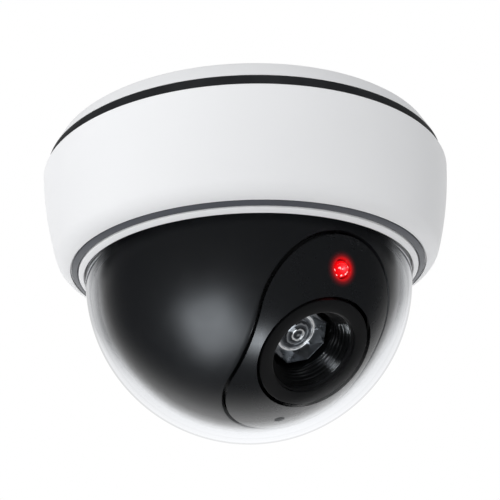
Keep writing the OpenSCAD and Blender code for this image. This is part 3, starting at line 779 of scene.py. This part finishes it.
TRACK_TOP = high("liner")
TRACK_R = LINER_R + 1.8
select_rim(liner, DOME_Z)
neck = TRACK_TOP - DOME_Z
bpy.ops.mesh.extrude_region_move(TRANSFORM_OT_translate={"value": (0, 0, neck * MM)})
grow = TRACK_R / LINER_R
bpy.ops.mesh.extrude_region_move()
bpy.ops.transform.resize(value=(grow, grow, 1), center_override=(0, 0, TRACK_TOP * MM))
bpy.ops.mesh.select_all(action="SELECT")
bpy.ops.mesh.normals_make_consistent(inside=False)
bpy.ops.object.mode_set(mode="OBJECT")
apply_modifier(liner, "SOLIDIFY", thickness=LINER_WALL * MM, offset=-1.0)
apply_modifier(liner, "BEVEL", width=0.18 * MM, segments=3, limit_method="ANGLE",
               angle_limit=math.radians(40))
bpy.ops.object.shade_smooth_by_angle(angle=math.radians(32))
mounted(liner, "eye", "satin_black_abs", liner_abs, "liner")

# %% [markdown]
# ## Lens panel
# The panel fills the liner's opening and leaves a narrow groove. It is built in rings, all
# with the same number of points: the outline on the sphere, the round seat of the bezel,
# the collar that holds the barrel, and the back. Rings with equal counts bridge cleanly,
# so the skin stays smooth from the outline to the seat.

# %% Lens panel
SEAT_R = 18.65
SEAT_Z = BEZEL_FACE - 2
BARREL_R = 14.5
COLLAR_R = 20.1
COLLAR_LOW = 34.5
BACK_R = LINER_R - LINER_WALL - 1.6


def circle_points(r, z):
    angles = [2 * math.pi * k / RING_POINTS for k in range(RING_POINTS)]
    return [Vector((r * math.sin(angle), r * math.cos(angle), z)) for angle in angles]


def skin(name, outer, inner, r, cuts):
    """A patch of the sphere of radius r between two loops."""
    patch = start_shell(name)
    draw_loop(patch, outer)
    draw_loop(patch, inner)
    bpy.ops.mesh.select_all(action="SELECT")
    bridge_selected(cuts)
    bpy.ops.object.mode_set(mode="OBJECT")
    return apply_modifier(patch, "CAST", cast_type="SPHERE", factor=1.0, radius=0.0, size=r * MM,
                          use_radius_as_size=False)


def bridged(piece, loops):
    """Bridges each loop of points to the next one."""
    bpy.ops.object.mode_set(mode="EDIT")
    bpy.ops.mesh.select_mode(type="VERT")
    for first, second in zip(loops, loops[1:]):
        draw_loop(piece, first)
        picked = bmesh.from_edit_mesh(piece.data)
        before = [v.index for v in picked.verts if v.select]
        draw_loop(piece, second)
        mesh = bmesh.from_edit_mesh(piece.data)
        mesh.verts.ensure_lookup_table()
        mesh.verts.index_update()
        for edge in mesh.edges:
            if all(v.index in before for v in edge.verts):
                edge.select = True
        for index in before:
            mesh.verts[index].select = True
        bmesh.update_edit_mesh(piece.data)
        bridge_selected(0)
    return piece


outline = on_sphere(panel_outline(0), LINER_R)
seat_edge = on_sphere([p.xy for p in circle_points(SEAT_R, 0)], LINER_R)
back_outline = on_sphere(panel_outline(0), BACK_R)
collar_edge = on_sphere([p.xy for p in circle_points(COLLAR_R, 0)], BACK_R)
front_skin = skin("panel_front", outline, seat_edge, LINER_R, 18)
back_skin = skin("panel_back", back_outline, collar_edge, BACK_R, 12)
walls = start_shell("panel_walls")
bridged(walls, [seat_edge, circle_points(SEAT_R, SEAT_Z), circle_points(BARREL_R + 0.1, SEAT_Z),
                circle_points(BARREL_R + 0.1, COLLAR_LOW), circle_points(COLLAR_R, COLLAR_LOW), collar_edge])
bridged(walls, [outline, back_outline])
bpy.ops.object.mode_set(mode="OBJECT")
panel = joined("panel_shell", front_skin, back_skin, walls)
bpy.ops.object.mode_set(mode="EDIT")
close_up(panel)
print("panel:", len(panel.data.vertices), "points")
along_ray(panel, LENS_DOWN)


def drill(piece, r, down, side, near, far):
    """Drills a round hole from the dome's centre outwards."""
    deselect_all()
    bpy.ops.mesh.primitive_cylinder_add(vertices=64, radius=r * MM, depth=(far - near) * MM,
                                        location=(0, 0, (near + far) / 2 * MM))
    tool = settle(bpy.context.object)
    return cut(piece, along_ray(tool, down, side))


LAMP_HOLE_R = 3.0
SENSOR_HOLE_R = 1.6
drill(panel, LAMP_HOLE_R, LAMP_DOWN, LAMP_SIDE, 40, 50)
drill(panel, SENSOR_HOLE_R, SENSOR_DOWN, SENSOR_SIDE, 40, 50)
apply_modifier(panel, "BEVEL", width=0.2 * MM, segments=3, limit_method="ANGLE",
               angle_limit=math.radians(40))
bpy.ops.object.shade_smooth_by_angle(angle=math.radians(32))
apply_modifier(panel, "WEIGHTED_NORMAL", keep_sharp=True, weight=60)
mounted(panel, "eye", "satin_black_abs", panel_abs, "lens_panel")

# %% [markdown]
# ## Bezel and barrel
# The bezel is a flat ring round the lens, and behind it the barrel steps down in rings.
# Real barrels have such baffles so that no light glances off the wall. Each step has a
# small rounding, because that is what shows as a bright thread of light.

# %% Bezel and barrel
BEZEL_R = 17.6
BEZEL_OPEN_R = 13.5
bezel = lathe("bezel_disc", [
    (BEZEL_R, BEZEL_FACE, 0.28), (BEZEL_R, SEAT_Z, 0.1), (12.95, SEAT_Z, 0), (12.95, 42.55, 0.1),
    (BEZEL_OPEN_R, 42.75, 0.08), (BEZEL_OPEN_R, BEZEL_FACE, 0.16)], turns=128)
along_ray(bezel, LENS_DOWN)
mounted(bezel, "eye", "matt_black_abs", matt_abs, "lens_bezel")

# radius and depth of each baffle's edge, from the front
BAFFLES = [(12.75, 41.6), (12.45, 41.2), (12.15, 40.8), (11.6, 40.3), (11.0, 39.3), (10.6, 38.4),
           (10.3, 37.3), (10.15, 36.3)]
CUP_FLOOR = 29.5
barrel_section = [(0, 28, 0), (11.7, 28, 0.3), (11.7, 36, 0), (BARREL_R, 36, 0.3), (BARREL_R, SEAT_Z, 0.1)]
for (r, z), (_, next_z) in zip(BAFFLES, BAFFLES[1:] + [(10.1, 34)]):
    barrel_section += [(r, z, 0.12), (r - 0.02, next_z, 0)]
barrel_section += [(10.1, CUP_FLOOR, 0), (0, CUP_FLOOR, 0)]
barrel = lathe("barrel_tube", barrel_section, turns=96, steps=3)
along_ray(barrel, LENS_DOWN)
mounted(barrel, "eye", "matt_black_abs", gloss_abs, "lens_barrel")


# %% [markdown]
# ## Reflector
# The cup behind the lens is vacuum-metallised plastic with flat facets, like a torch's
# reflector. It is spun in only a few steps, so each step stays flat, and its middle ring is
# turned by half a step, so the facets become slanted kites.

# %% Reflector
CUP_FACETS = 8
CUP_R = 9.7
CUP_TOP = 34.8
CUP_LOW_R = 5.1
CUP_MIDDLE = (7.5, CUP_FLOOR + 2.6)


def metallised(name, tint, roughness):
    finish, tree, shader, place = new_finish(name, Metallic=1.0)
    haze = noise(tree, place, 3, 3.0)
    base = hex_colour(tint)
    darker = [c * 0.72 for c in base[:3]] + [1]
    tree.links.new(ramp(tree, haze, [(0.3, darker), (0.7, base)]), shader.inputs["Base Color"])
    tree.links.new(spread(tree, haze, 0.3, 0.7, roughness * 0.8, roughness * 1.2), shader.inputs["Roughness"])
    bumped(tree, shader, noise(tree, place, 1.2, 2.0), 0.01)
    return finish


chrome = metallised("aluminium_vacuum_coat", "#8F9296", 0.3)
inside = [(CUP_LOW_R, CUP_FLOOR + 0.6), CUP_MIDDLE, (CUP_R - 0.5, CUP_TOP)]
cup = draw_section("reflector_cup", inside)
bpy.ops.mesh.select_all(action="SELECT")
bpy.ops.mesh.spin(steps=CUP_FACETS, angle=2 * math.pi, center=(0, 0, 0), axis=(0, 0, 1))
bpy.ops.mesh.select_all(action="SELECT")
bpy.ops.mesh.remove_doubles(threshold=0.0004 * MM)
bpy.ops.mesh.select_mode(type="VERT")
bpy.ops.mesh.select_all(action="DESELECT")
cup_mesh = bmesh.from_edit_mesh(cup.data)
for vert in cup_mesh.verts:
    vert.select = abs(vert.co.z / MM - CUP_MIDDLE[1]) < 0.01
bmesh.update_edit_mesh(cup.data)
bpy.ops.transform.rotate(value=math.pi / CUP_FACETS, orient_axis="Z", center_override=(0, 0, 0))
bpy.ops.mesh.select_all(action="SELECT")
bpy.ops.mesh.quads_convert_to_tris()
bpy.ops.mesh.normals_make_consistent(inside=True)
bpy.ops.object.mode_set(mode="OBJECT")
apply_modifier(cup, "SOLIDIFY", thickness=0.45 * MM, offset=-1.0)
apply_modifier(cup, "BEVEL", width=0.05 * MM, segments=1, limit_method="ANGLE", angle_limit=math.radians(12))
bpy.ops.object.shade_flat()
along_ray(cup, LENS_DOWN)
mounted(cup, "eye", "chrome_cup", chrome, "reflector")

# %% [markdown]
# ## Lens
# The lens is one clear pressed piece with steps in rings. The rings bend light like a
# thick lens would. The bright thread at each ring's edge and the dark bands between them are
# painted highlights and painted shade, put into the finish's colour and a faint glow by the
# distance from the lens axis.

# %% Lens
LENS_R = 6.3
LENS_STEM_R = 4.9
lens_corners = [(0, CUP_FLOOR + 0.15, 0), (LENS_STEM_R, CUP_FLOOR + 0.15, 0.1),
                (LENS_STEM_R, CUP_FLOOR + 1.7, 0.2), (LENS_R, CUP_FLOOR + 2.0, 0.1),
                (LENS_R, CUP_FLOOR + 2.6, 0.2), (LENS_R - 0.6, CUP_FLOOR + 2.9, 0.1),
                (LENS_R - 0.7, CUP_FLOOR + 2.4, 0.1)]
for ring_r, ring_z in ((4.6, 3.2), (3.2, 3.7), (1.8, 4.1)):
    lens_corners += [(ring_r, CUP_FLOOR + ring_z, 0.2), (ring_r - 0.1, CUP_FLOOR + ring_z - 0.4, 0.1)]
lens_corners += [(0.7, CUP_FLOOR + 4.05, 0.2), (0, CUP_FLOOR + 4.1, 0)]
lens = lathe("lens_stepped", lens_corners, turns=72, steps=3)
along_ray(lens, LENS_DOWN)


def clear_acrylic(name):
    """Clear acrylic over the bright cup, with painted highlights and shade: bright threads and dark bands by
    the distance from the lens axis, in the colour and a faint glow.
    """
    finish, tree, shader, place = new_finish(name, Roughness=0.08, Metallic=0.35)
    shader.inputs["Coat Weight"].default_value = 0.8
    shader.inputs["Coat Roughness"].default_value = 0.03
    axis = (TO_WORLD @ Vector((0, 0, 1))).normalized()
    start = add_node(tree, "ShaderNodeVectorMath", {"operation": "SUBTRACT", 1: (0, 0, DOME_Z * MM)},
                     {0: place})
    across = add_node(tree, "ShaderNodeVectorMath", {"operation": "CROSS_PRODUCT", 1: axis},
                      {0: start.outputs["Vector"]})
    away = add_node(tree, "ShaderNodeVectorMath", {"operation": "LENGTH"},
                    {0: across.outputs["Vector"]}).outputs["Value"]
    swirl = noise(tree, place, 1.8, 2.0)
    wavy = add_node(tree, "ShaderNodeMath", {"operation": "MULTIPLY_ADD", 1: 0.9 * MM}, {0: swirl, 2: away})
    dark, mid, pale, white = (hex_colour(code) for code in ("#26282B", "#4B4E52", "#8D9094", "#F2F3F4"))
    # painted highlights and painted shade: bright, grey and dark rings by the distance from the lens axis,
    # put into the colour and a faint glow
    painted_ring_light_and_shade = ramp(tree, spread(tree, wavy.outputs[0], 0, 7.4 * MM, 0, 1), [
        (0.0, white), (0.1, pale), (0.16, dark), (0.25, mid), (0.31, white), (0.36, dark), (0.46, mid),
        (0.53, pale), (0.57, dark), (0.7, mid), (0.8, pale), (0.85, white), (0.93, white), (1.0, mid)])
    tree.links.new(painted_ring_light_and_shade, shader.inputs["Base Color"])
    tree.links.new(painted_ring_light_and_shade, shader.inputs["Emission Color"])
    shader.inputs["Emission Strength"].default_value = 0.22
    bumped(tree, shader, swirl, 0.12)
    return finish


mounted(lens, "eye", "clear_acrylic", clear_acrylic("acrylic_clear"), "lens_element")

# %% [markdown]
# ## Lamp
# The lamp is a 5 mm red LED: a clear red epoxy body with a domed tip and a small flange.
# The die inside lights the tip most. The finish glows by the distance from the die, pink
# at the heart and deep red at the rim.

# %% Lamp
LAMP_R = 2.5
LAMP_TIP = LINER_R + 1.1
LAMP_BASE = LAMP_TIP - 8.6


def ray_place(x, w, down, side):
    """A point in the frame of a ray, as the CAD's: x across it and w along it."""
    turn = Matrix.Rotation(math.pi / 2 + down, 3, "X") @ Matrix.Rotation(side, 3, "Y")
    return (Vector((0, 0, DOME_Z)) + turn @ Vector((x, 0, w))) * MM


def distance_from(tree, place, point):
    reach = add_node(tree, "ShaderNodeVectorMath", {"operation": "DISTANCE", 1: point}, {0: place})
    return reach.outputs["Value"]


lamp_corners = [(0, LAMP_BASE, 0), (LAMP_R + 0.4, LAMP_BASE, 0.1), (LAMP_R + 0.4, LAMP_BASE + 1, 0.2),
                (LAMP_R, LAMP_BASE + 1, 0.1)]
lamp_corners += arc_points((0, LAMP_TIP - LAMP_R), LAMP_R, 0, 90, 14)
lamp = lathe("lamp_body", lamp_corners, turns=48)
along_ray(lamp, LAMP_DOWN, LAMP_SIDE)


def red_epoxy(name):
    finish, tree, shader, place = new_finish(name, Roughness=0.08)
    shader.inputs["Base Color"].default_value = hex_colour("#C30B12")
    shader.inputs["Coat Weight"].default_value = 0.5
    shader.inputs["Coat Roughness"].default_value = 0.03
    heart = distance_from(tree, place, ray_place(-0.3, LAMP_TIP - 0.2, LAMP_DOWN, LAMP_SIDE))
    glow = ramp(tree, spread(tree, heart, 0, 3.2 * MM, 0, 1), [
        (0.0, hex_colour("#FF8C94")), (0.2, hex_colour("#FF3A42")), (0.5, hex_colour("#F0060C")),
        (1.0, hex_colour("#8C0004"))])
    glints = ramp(tree, noise(tree, place, 0.9, 1.0), [(0.62, (0, 0, 0, 1)), (0.68, grey(0.75))])
    lit = add_node(tree, "ShaderNodeVectorMath", {"operation": "ADD"}, {0: glow, 1: glints})
    tree.links.new(lit.outputs["Vector"], shader.inputs["Emission Color"])
    shader.inputs["Emission Strength"].default_value = 0.95
    bumped(tree, shader, noise(tree, place, 1.1, 2.0), 0.12)
    return finish


mounted(lamp, "eye", "red_epoxy", red_epoxy("epoxy_red_lit"), "led")


def painted_lamp_glow(finish):
    """The lamp's red light on the plastic round its hole, painted as a glow that fades with distance."""
    tree = finish.node_tree
    shader = tree.nodes["Principled BSDF"]
    place = add_node(tree, "ShaderNodeTexCoord").outputs["Object"]
    away = distance_from(tree, place, ray_place(0, LINER_R, LAMP_DOWN, LAMP_SIDE))
    glow = ramp(tree, spread(tree, away, 2.7 * MM, 5.4 * MM, 0, 1), [
        (0.0, hex_colour("#E80A10")), (0.2, hex_colour("#B80509")), (0.42, hex_colour("#6A0307")),
        (0.7, hex_colour("#2C0103")), (1.0, (0, 0, 0, 1))])
    tree.links.new(glow, shader.inputs["Emission Color"])
    shader.inputs["Emission Strength"].default_value = 1.0


# painted light: the lamp's red glow on the panel round its hole, as emission
painted_lamp_glow(panel_abs)

# %% [markdown]
# ## Light sensor
# A round sensor sits behind the small hole at the panel's lower end. Its grey window
# reaches almost to the skin, so the hole looks like a flat grey dot.

# %% Light sensor
SENSOR_R = 2.5
SENSOR_BACK = 42
SENSOR_FRONT = 44.15
WINDOW_R = SENSOR_HOLE_R - 0.12
sensor = lathe("sensor_body", [
    (0, SENSOR_BACK, 0), (SENSOR_R, SENSOR_BACK, 0.2), (SENSOR_R, SENSOR_FRONT, 0.3),
    (WINDOW_R, SENSOR_FRONT, 0.05), (WINDOW_R, LINER_R - 0.1, 0.2), (0, LINER_R - 0.06, 0)], turns=48)
along_ray(sensor, SENSOR_DOWN, SENSOR_SIDE)
mounted(sensor, "eye", "sensor_epoxy", moulded_abs("epoxy_grey_window", "#232426", 0.75, 0.6, 0.004,
                                                              Specular_IOR_Level=0.05),
        "light_sensor")

# %% [markdown]
# ## Screws
# The screws are zinc-plated steel with a pan head and a cross recess. One is turned on the
# lathe, with a rounded head and a ridge for each thread, and two bars are cut from its head.
# It is then copied, each copy with its own mesh, to the places that the frame gives.

# %% Screws
HEAD_R = 2.3
HEAD_T = 1.4
THREAD_R = 1.2
THREAD_PITCH = 0.8


def plated_steel(name, tint, roughness):
    """Plated steel: a bright metal with fine cloudy marks from the plating bath."""
    finish, tree, shader, place = new_finish(name, Metallic=1.0)
    cloud = noise(tree, place, 2.5, 4.0)
    base = hex_colour(tint)
    darker = [c * 0.78 for c in base[:3]] + [1]
    tree.links.new(ramp(tree, cloud, [(0.35, darker), (0.65, base)]), shader.inputs["Base Color"])
    gloss = spread(tree, cloud, 0.3, 0.7, roughness * 0.8, roughness * 1.2)
    tree.links.new(gloss, shader.inputs["Roughness"])
    bumped(tree, shader, noise(tree, place, 0.4, 2.0), 0.004)
    return finish


zinc = plated_steel("steel_zinc_plated", "#B9BCC0", 0.32)
nickel = plated_steel("steel_nickel_plated", "#C6C3BA", 0.2)


def pan_screw(name, length):
    """A screw with its head's seat at z = 0, pointing down."""
    corners = [(0, -length, 0), (0.5, -length, 0.1)]
    for k in range(int((length - 0.6) / THREAD_PITCH)):
        z = -length + 0.4 + THREAD_PITCH * k
        corners += [(THREAD_R - 0.2, z, 0), (THREAD_R, z + 0.3, 0.04), (THREAD_R - 0.2, z + 0.6, 0)]
    corners += [(THREAD_R - 0.2, 0, 0), (HEAD_R, 0, 0.1), (HEAD_R, HEAD_T, 0.9), (0, HEAD_T, 0)]
    piece = lathe(name, corners, turns=32, steps=3)
    for turn in (0, math.pi / 2):
        deselect_all()
        bpy.ops.mesh.primitive_cube_add(size=MM, location=(0, 0, (HEAD_T + 0.1) * MM), rotation=(0, 0, turn),
                                        scale=(2.6, 0.55, 1.4))
        cut(piece, settle(bpy.context.object))
    return piece


def set_screws(name, node, length, places):
    """Copies one screw to each place in millimetres and joins the copies as one piece."""
    first = pan_screw(name, length)
    copies = []
    for x, y, z in places:
        twin = first.copy()
        twin.data = first.data.copy()
        bpy.context.scene.collection.objects.link(twin)
        twin.location = Vector((x, y, z)) * MM
        copies.append(settle(twin))
    bpy.data.objects.remove(first)
    piece = joined(name, *copies)
    return mounted(piece, "camera", "zinc_steel", zinc, node)


def head_places(node):
    """Places of a pair of screws, from the box round both."""
    lo, hi = (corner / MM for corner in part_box(node))
    return [(side * (hi.x - HEAD_R), (lo.y + hi.y) / 2, hi.z - HEAD_T) for side in (-1, 1)]


ring_at = -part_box("carrier_screws")[0].y / MM - HEAD_R
ring_seat = high("carrier_screws") - HEAD_T
ring_turns = [math.radians(angle) for angle in (30, 150, 270)]
set_screws("carrier_screw_set", "carrier_screws", 4, [
    (ring_at * math.cos(turn), ring_at * math.sin(turn), ring_seat) for turn in ring_turns])
set_screws("tray_screw_set", "tray_screws", 2.6, head_places("tray_screws"))
set_screws("board_screw_set", "board_screws", 5, head_places("board_screws"))

# %% [markdown]
# ## Cells
# Two AA cells lie side by side, head to tail. Each is a steel can in a thin printed sleeve
# that is rolled over the edge of the can, with a raised cap at the positive end. The sleeve
# is dark with a copper-coloured band, by the distance along the cell.

# %% Cells
CAP_R = 2.7
CAP_LONG = 1.2


def sleeved_can(name, flat_end, cap_end):
    """A sleeve whose colour runs along X from the flat end to the cap."""
    finish, tree, shader, place = new_finish(name, Roughness=0.28)
    along = add_node(tree, "ShaderNodeSeparateXYZ", links={0: place}).outputs["X"]
    steel, dark, copper = (hex_colour(code) for code in ("#B8B6B0", "#1C2A44", "#B4703C"))
    bands = ramp(tree, spread(tree, along, flat_end * MM, cap_end * MM, 0, 1), [
        (0.0, steel), (0.012, steel), (0.014, dark), (0.68, dark), (0.685, copper), (0.958, copper),
        (0.964, steel), (1.0, steel)])
    tree.links.new(bands, shader.inputs["Base Color"])
    shine = ramp(tree, spread(tree, along, flat_end * MM, cap_end * MM, 0, 1), [
        (0.0, grey(1)), (0.013, grey(0.1)), (0.68, grey(0.1)), (0.69, grey(0.8)), (1.0, grey(1))])
    tree.links.new(shine, shader.inputs["Metallic"])
    bumped(tree, shader, noise(tree, place, 1.5, 2.0), 0.006)
    return finish


def make_cell(name, node, cap_side):
    lo, hi = (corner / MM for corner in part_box(node))
    size = (hi.z - lo.z) / 2
    long = hi.x - lo.x
    can = long - CAP_LONG
    cell = lathe(name, [
        (0, 0.1, 0), (size - 1.2, 0.1, 0), (size - 0.9, 0, 0.1), (size - 0.3, 0, 0.15), (size, 0.4, 0.2),
        (size, can - 0.4, 0.3), (size - 0.6, can, 0.15), (size - 1.1, can - 0.3, 0.1),
        (CAP_R, can - 0.3, 0.2), (CAP_R, long, 0.4), (0, long, 0)], turns=64)
    start = lo.x if cap_side > 0 else hi.x
    cell.matrix_world = (Matrix.Translation(Vector((start, (lo.y + hi.y) / 2, (lo.z + hi.z) / 2)) * MM)
                         @ Matrix.Rotation(math.pi / 2 * cap_side, 4, "Y"))
    settle(cell)
    wrap = sleeved_can("sleeve_" + node, start, start + cap_side * long)
    return mounted(cell, "camera", "cell_wrap", wrap, node)


make_cell("cell_left", "battery_left", 1)
make_cell("cell_right", "battery_right", -1)

# %% [markdown]
# ## Circuit
# A small flasher board drives the lamp. The capacitor is an aluminium can in a shrunk
# sleeve, with a bare top, and the board is glass-fibre laminate under a green solder mask.

# %% Capacitor
cap_lo, cap_hi = (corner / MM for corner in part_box("capacitor"))
can_r = (cap_hi.x - cap_lo.x) / 2
capacitor = lathe("capacitor_can", [
    (0, 0, 0), (can_r - 0.3, 0, 0), (can_r - 0.3, 0.3, 0), (can_r, 0.3, 0.2), (can_r, 1.2, 0.1),
    (can_r - 0.2, 1.4, 0.1), (can_r, 1.6, 0.1), (can_r, cap_hi.z - cap_lo.z - 0.15, 0.3),
    (can_r - 0.5, cap_hi.z - cap_lo.z - 0.05, 0.05), (0, cap_hi.z - cap_lo.z - 0.05, 0)], turns=48)
capacitor.location = Vector(((cap_lo.x + cap_hi.x) / 2, (cap_lo.y + cap_hi.y) / 2, cap_lo.z)) * MM
settle(capacitor)


def sleeve_and_top(name, top_z):
    """A dark blue sleeve up to the rim, and bare aluminium above it."""
    finish, tree, shader, place = new_finish(name, Roughness=0.32)
    up = add_node(tree, "ShaderNodeSeparateXYZ", links={0: place}).outputs["Z"]
    bare = spread(tree, up, (top_z - 0.12) * MM, (top_z - 0.08) * MM, 0, 1)
    tint = ramp(tree, bare, [(0.4, hex_colour("#26346B")), (0.6, hex_colour("#C9CBCE"))])
    tree.links.new(tint, shader.inputs["Base Color"])
    tree.links.new(bare, shader.inputs["Metallic"])
    bumped(tree, shader, noise(tree, place, 0.8, 2.0), 0.004)
    return finish


mounted(capacitor, "camera", "capacitor_blue", sleeve_and_top("sleeve_blue_aluminium", cap_hi.z), "capacitor")

# %% [markdown]
# ### Parts that keep their shape
# The tray, the door, the board and the small parts on it already have the right shape in
# the model, so they only get their finish: moulded ABS, solder mask with copper tracks
# under it, dull epoxy, lacquered ceramic and PVC insulation.

# %% Finishes for the inner parts
def solder_mask(name):
    """Green solder mask over copper tracks, which show as lighter lines 1.3 mm apart."""
    finish, tree, shader, place = new_finish(name, Roughness=0.3)
    tracks = add_node(tree, "ShaderNodeTexBrick", {
        "Scale": 1 / (5 * MM), "Mortar Size": 0.05, "Color1": hex_colour("#1C5E34"),
        "Color2": hex_colour("#1F6B3A"), "Mortar": hex_colour("#3F8A4E")}, {"Vector": place})
    tree.links.new(tracks.outputs["Color"], shader.inputs["Base Color"])
    bumped(tree, shader, tracks.outputs["Fac"], 0.03)
    return finish


def lacquered(name, body, band):
    """Lacquered ceramic with thin colour bands every 1.1 mm across it."""
    finish, tree, shader, place = new_finish(name, Roughness=0.35)
    rings = add_node(tree, "ShaderNodeTexWave", {"bands_direction": "Y", "Scale": 1 / (3.6 * MM),
                                                 "Distortion": 0.0}, {"Vector": place}).outputs["Fac"]
    tint = ramp(tree, rings, [(0.72, hex_colour(body)), (0.8, hex_colour(band))])
    tree.links.new(tint, shader.inputs["Base Color"])
    bumped(tree, shader, noise(tree, place, 0.7, 2.0), 0.005)
    return finish


def finished(finish, *nodes):
    """Puts a finish on CAD nodes that keep their own shape."""
    for node in nodes:
        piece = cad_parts[node]
        print(node, [place.material.name for place in piece.material_slots])
        for place in piece.material_slots:
            place.material = finish


finished(inner_abs, "dome_clamp", "carrier_plate", "battery_tray", "battery_door", "led_holder")
finished(matt_abs, "switch_knob")
finished(grommet_rubber, "lead_grommet")
finished(zinc, "switch_body", "lens_bracket", "bracket_screws")
finished(nickel, "contact_springs", "contact_plates")
finished(solder_mask("laminate_green_mask"), "circuit_board")
finished(moulded_abs("epoxy_black_dull", "#1C1D20", 0.5, 0.3, 0.01), "flasher_chip")
finished(lacquered("lacquer_tan", "#C9A86A", "#7A4A22"), "resistors")
finished(moulded_abs("pvc_lead_dark", "#2B2A2C", 0.42, 1.0, 0.004), "battery_leads", "upper_leads",
         "led_leads", "sensor_leads")

# %% [markdown]
# ## Stage and light
# A plain pale floor far below, a white room behind the object and soft lamps in front. A
# glossy dark part shows the room more than its own colour, so the room that mirrors see is
# painted on purpose: white behind and below the object, dark in front. White parts take
# their shade from a second, gentler room, brighter at the left. A Light Path node chooses
# the room by the kind of ray.

# %% World
view_axes = view_camera.matrix_world.to_3x3()
VIEW_RIGHT, VIEW_UP, VIEW_BACK = (view_axes.col[k].copy() for k in range(3))


def from_view(right, up, back):
    """A direction given as seen by the camera: right, up and towards the camera."""
    return VIEW_RIGHT * right + VIEW_UP * up + VIEW_BACK * back


def room(tree, place, toward, first, last, strength, stops):
    """A ramp of light along one direction of the room."""
    facing = add_node(tree, "ShaderNodeVectorMath", {"operation": "DOT_PRODUCT", 1: toward.normalized()},
                      {0: place}).outputs["Value"]
    light = ramp(tree, spread(tree, facing, first, last, 0, 1), [(at, grey(level)) for at, level in stops])
    return add_node(tree, "ShaderNodeVectorMath", {"operation": "SCALE", "Scale": strength},
                    {0: light}).outputs["Vector"]


def choose(tree, switch, without, within):
    new = add_node(tree, "ShaderNodeMix", {"data_type": "RGBA"})
    tree.links.new(switch, new.inputs[0])
    for number, source in ((6, without), (7, within)):
        if isinstance(source, tuple):
            new.inputs[number].default_value = source
        else:
            tree.links.new(source, new.inputs[number])
    return new.outputs[2]


def build_world():
    world = bpy.data.worlds.new("studio")
    bpy.context.scene.world = world
    world.use_nodes = True
    tree = world.node_tree
    background = tree.nodes["Background"]
    place = add_node(tree, "ShaderNodeTexCoord").outputs["Generated"]
    backdrop = room(tree, place, from_view(0, 0, -1), 0.5, 0.95, 1.0, [(0, 0.02), (0.35, 0.3), (1, 1)])
    table = room(tree, place, from_view(0.08, -0.6, -0.8), 0.5, 1.0, 1.3,
                 [(0, 0.03), (0.3, 0.2), (0.42, 0.45), (0.6, 0.8), (1, 1)])
    mirror_room = add_node(tree, "ShaderNodeVectorMath", {"operation": "MAXIMUM"},
                           {0: backdrop, 1: table}).outputs["Vector"]
    soft_room = room(tree, place, from_view(-0.8, -0.25, 0.55), -1, 1, 1.9,
                     [(0, 0.3), (0.5, 0.44), (0.75, 0.62), (1, 1)])
    path = add_node(tree, "ShaderNodeLightPath").outputs
    seen = choose(tree, path["Is Diffuse Ray"], mirror_room, soft_room)
    seen = choose(tree, path["Is Camera Ray"], seen, grey(1.0))
    tree.links.new(seen, background.inputs["Color"])
    background.inputs["Strength"].default_value = 1.0


build_world()


# %% [markdown]
# ### Small lamps for the dark parts
# A black part shows only what it mirrors, so each highlight on it is one soft lamp. In a
# studio, black flags keep such a lamp off the other parts. Here each lamp is linked to the
# few pieces that it is meant for.

# %% Lamps
LAMP_DISTANCE = 0.9


def add_lamp(name, direction, size, energy):
    """A soft lamp that looks at the dome from the given direction."""
    data = bpy.data.lights.new(name, "AREA")
    data.energy = energy
    data.size = size
    soft = bpy.data.objects.new(name, data)
    bpy.context.scene.collection.objects.link(soft)
    aim = Vector((0, 0, -0.045))
    soft.location = aim + direction.normalized() * LAMP_DISTANCE
    soft.rotation_euler = (aim - soft.location).to_track_quat("-Z", "Y").to_euler()
    return soft


def lit_only(lamp, *pieces_lit):
    """Links a lamp to a few pieces, as a studio flag would shade the others from it."""
    lit = bpy.data.collections.new(lamp.name + "_lit")
    for piece in pieces_lit:
        lit.objects.link(piece)
    lamp.light_linking.receiver_collection = lit


MIRROR_LAMPS = [
    ("glow", from_view(-0.42, -0.5, 0.76), 0.6, 6.0, (liner,)),
    ("patch", from_view(0.105, -0.664, 0.74), 0.2, 1.8, (panel,)),
    ("low", from_view(-0.4, -0.9, -0.1), 0.3, 26.0, (barrel,)),
    ("barrel_front", from_view(-0.35, 0.1, 0.93), 0.3, 13.0, (barrel,)),
    ("cup_front", from_view(0.3, -0.35, 0.9), 0.5, 3.6, (cup, lens)),
    ("cup_left", from_view(-0.5, -0.7, 0.5), 0.4, 3.0, (cup, lens)),
]
for name, direction, size, energy, pieces_lit in MIRROR_LAMPS:
    soft = add_lamp(name, direction, size, energy)
    soft.visible_diffuse = False
    soft.data.color = (0.88, 0.94, 1.0)
    lit_only(soft, *pieces_lit)

# %% [markdown]
# ### Floor
# The object hangs above a plain sheet of pale paper. The paper has a faint cloudy tint, and
# it is kept out of the reflections, because the room already gives their light.

# %% Floor
deselect_all()
bpy.ops.mesh.primitive_plane_add(size=4, location=(0, 0, -0.95))
floor = settle(bpy.context.object)
floor.name = floor.data.name = "floor"
floor_finish, floor_tree, floor_shader, floor_place = new_finish("floor_paper", Roughness=0.9)
floor_tint = ramp(floor_tree, noise(floor_tree, floor_place, 300), [(0.4, hex_colour("#EDEDED")),
                                                                   (0.6, hex_colour("#F2F2F2"))])
floor_tree.links.new(floor_tint, floor_shader.inputs["Base Color"])
floor.data.materials.append(floor_finish)
floor.visible_glossy = False
bpy.context.scene.view_settings.view_transform = "Standard"
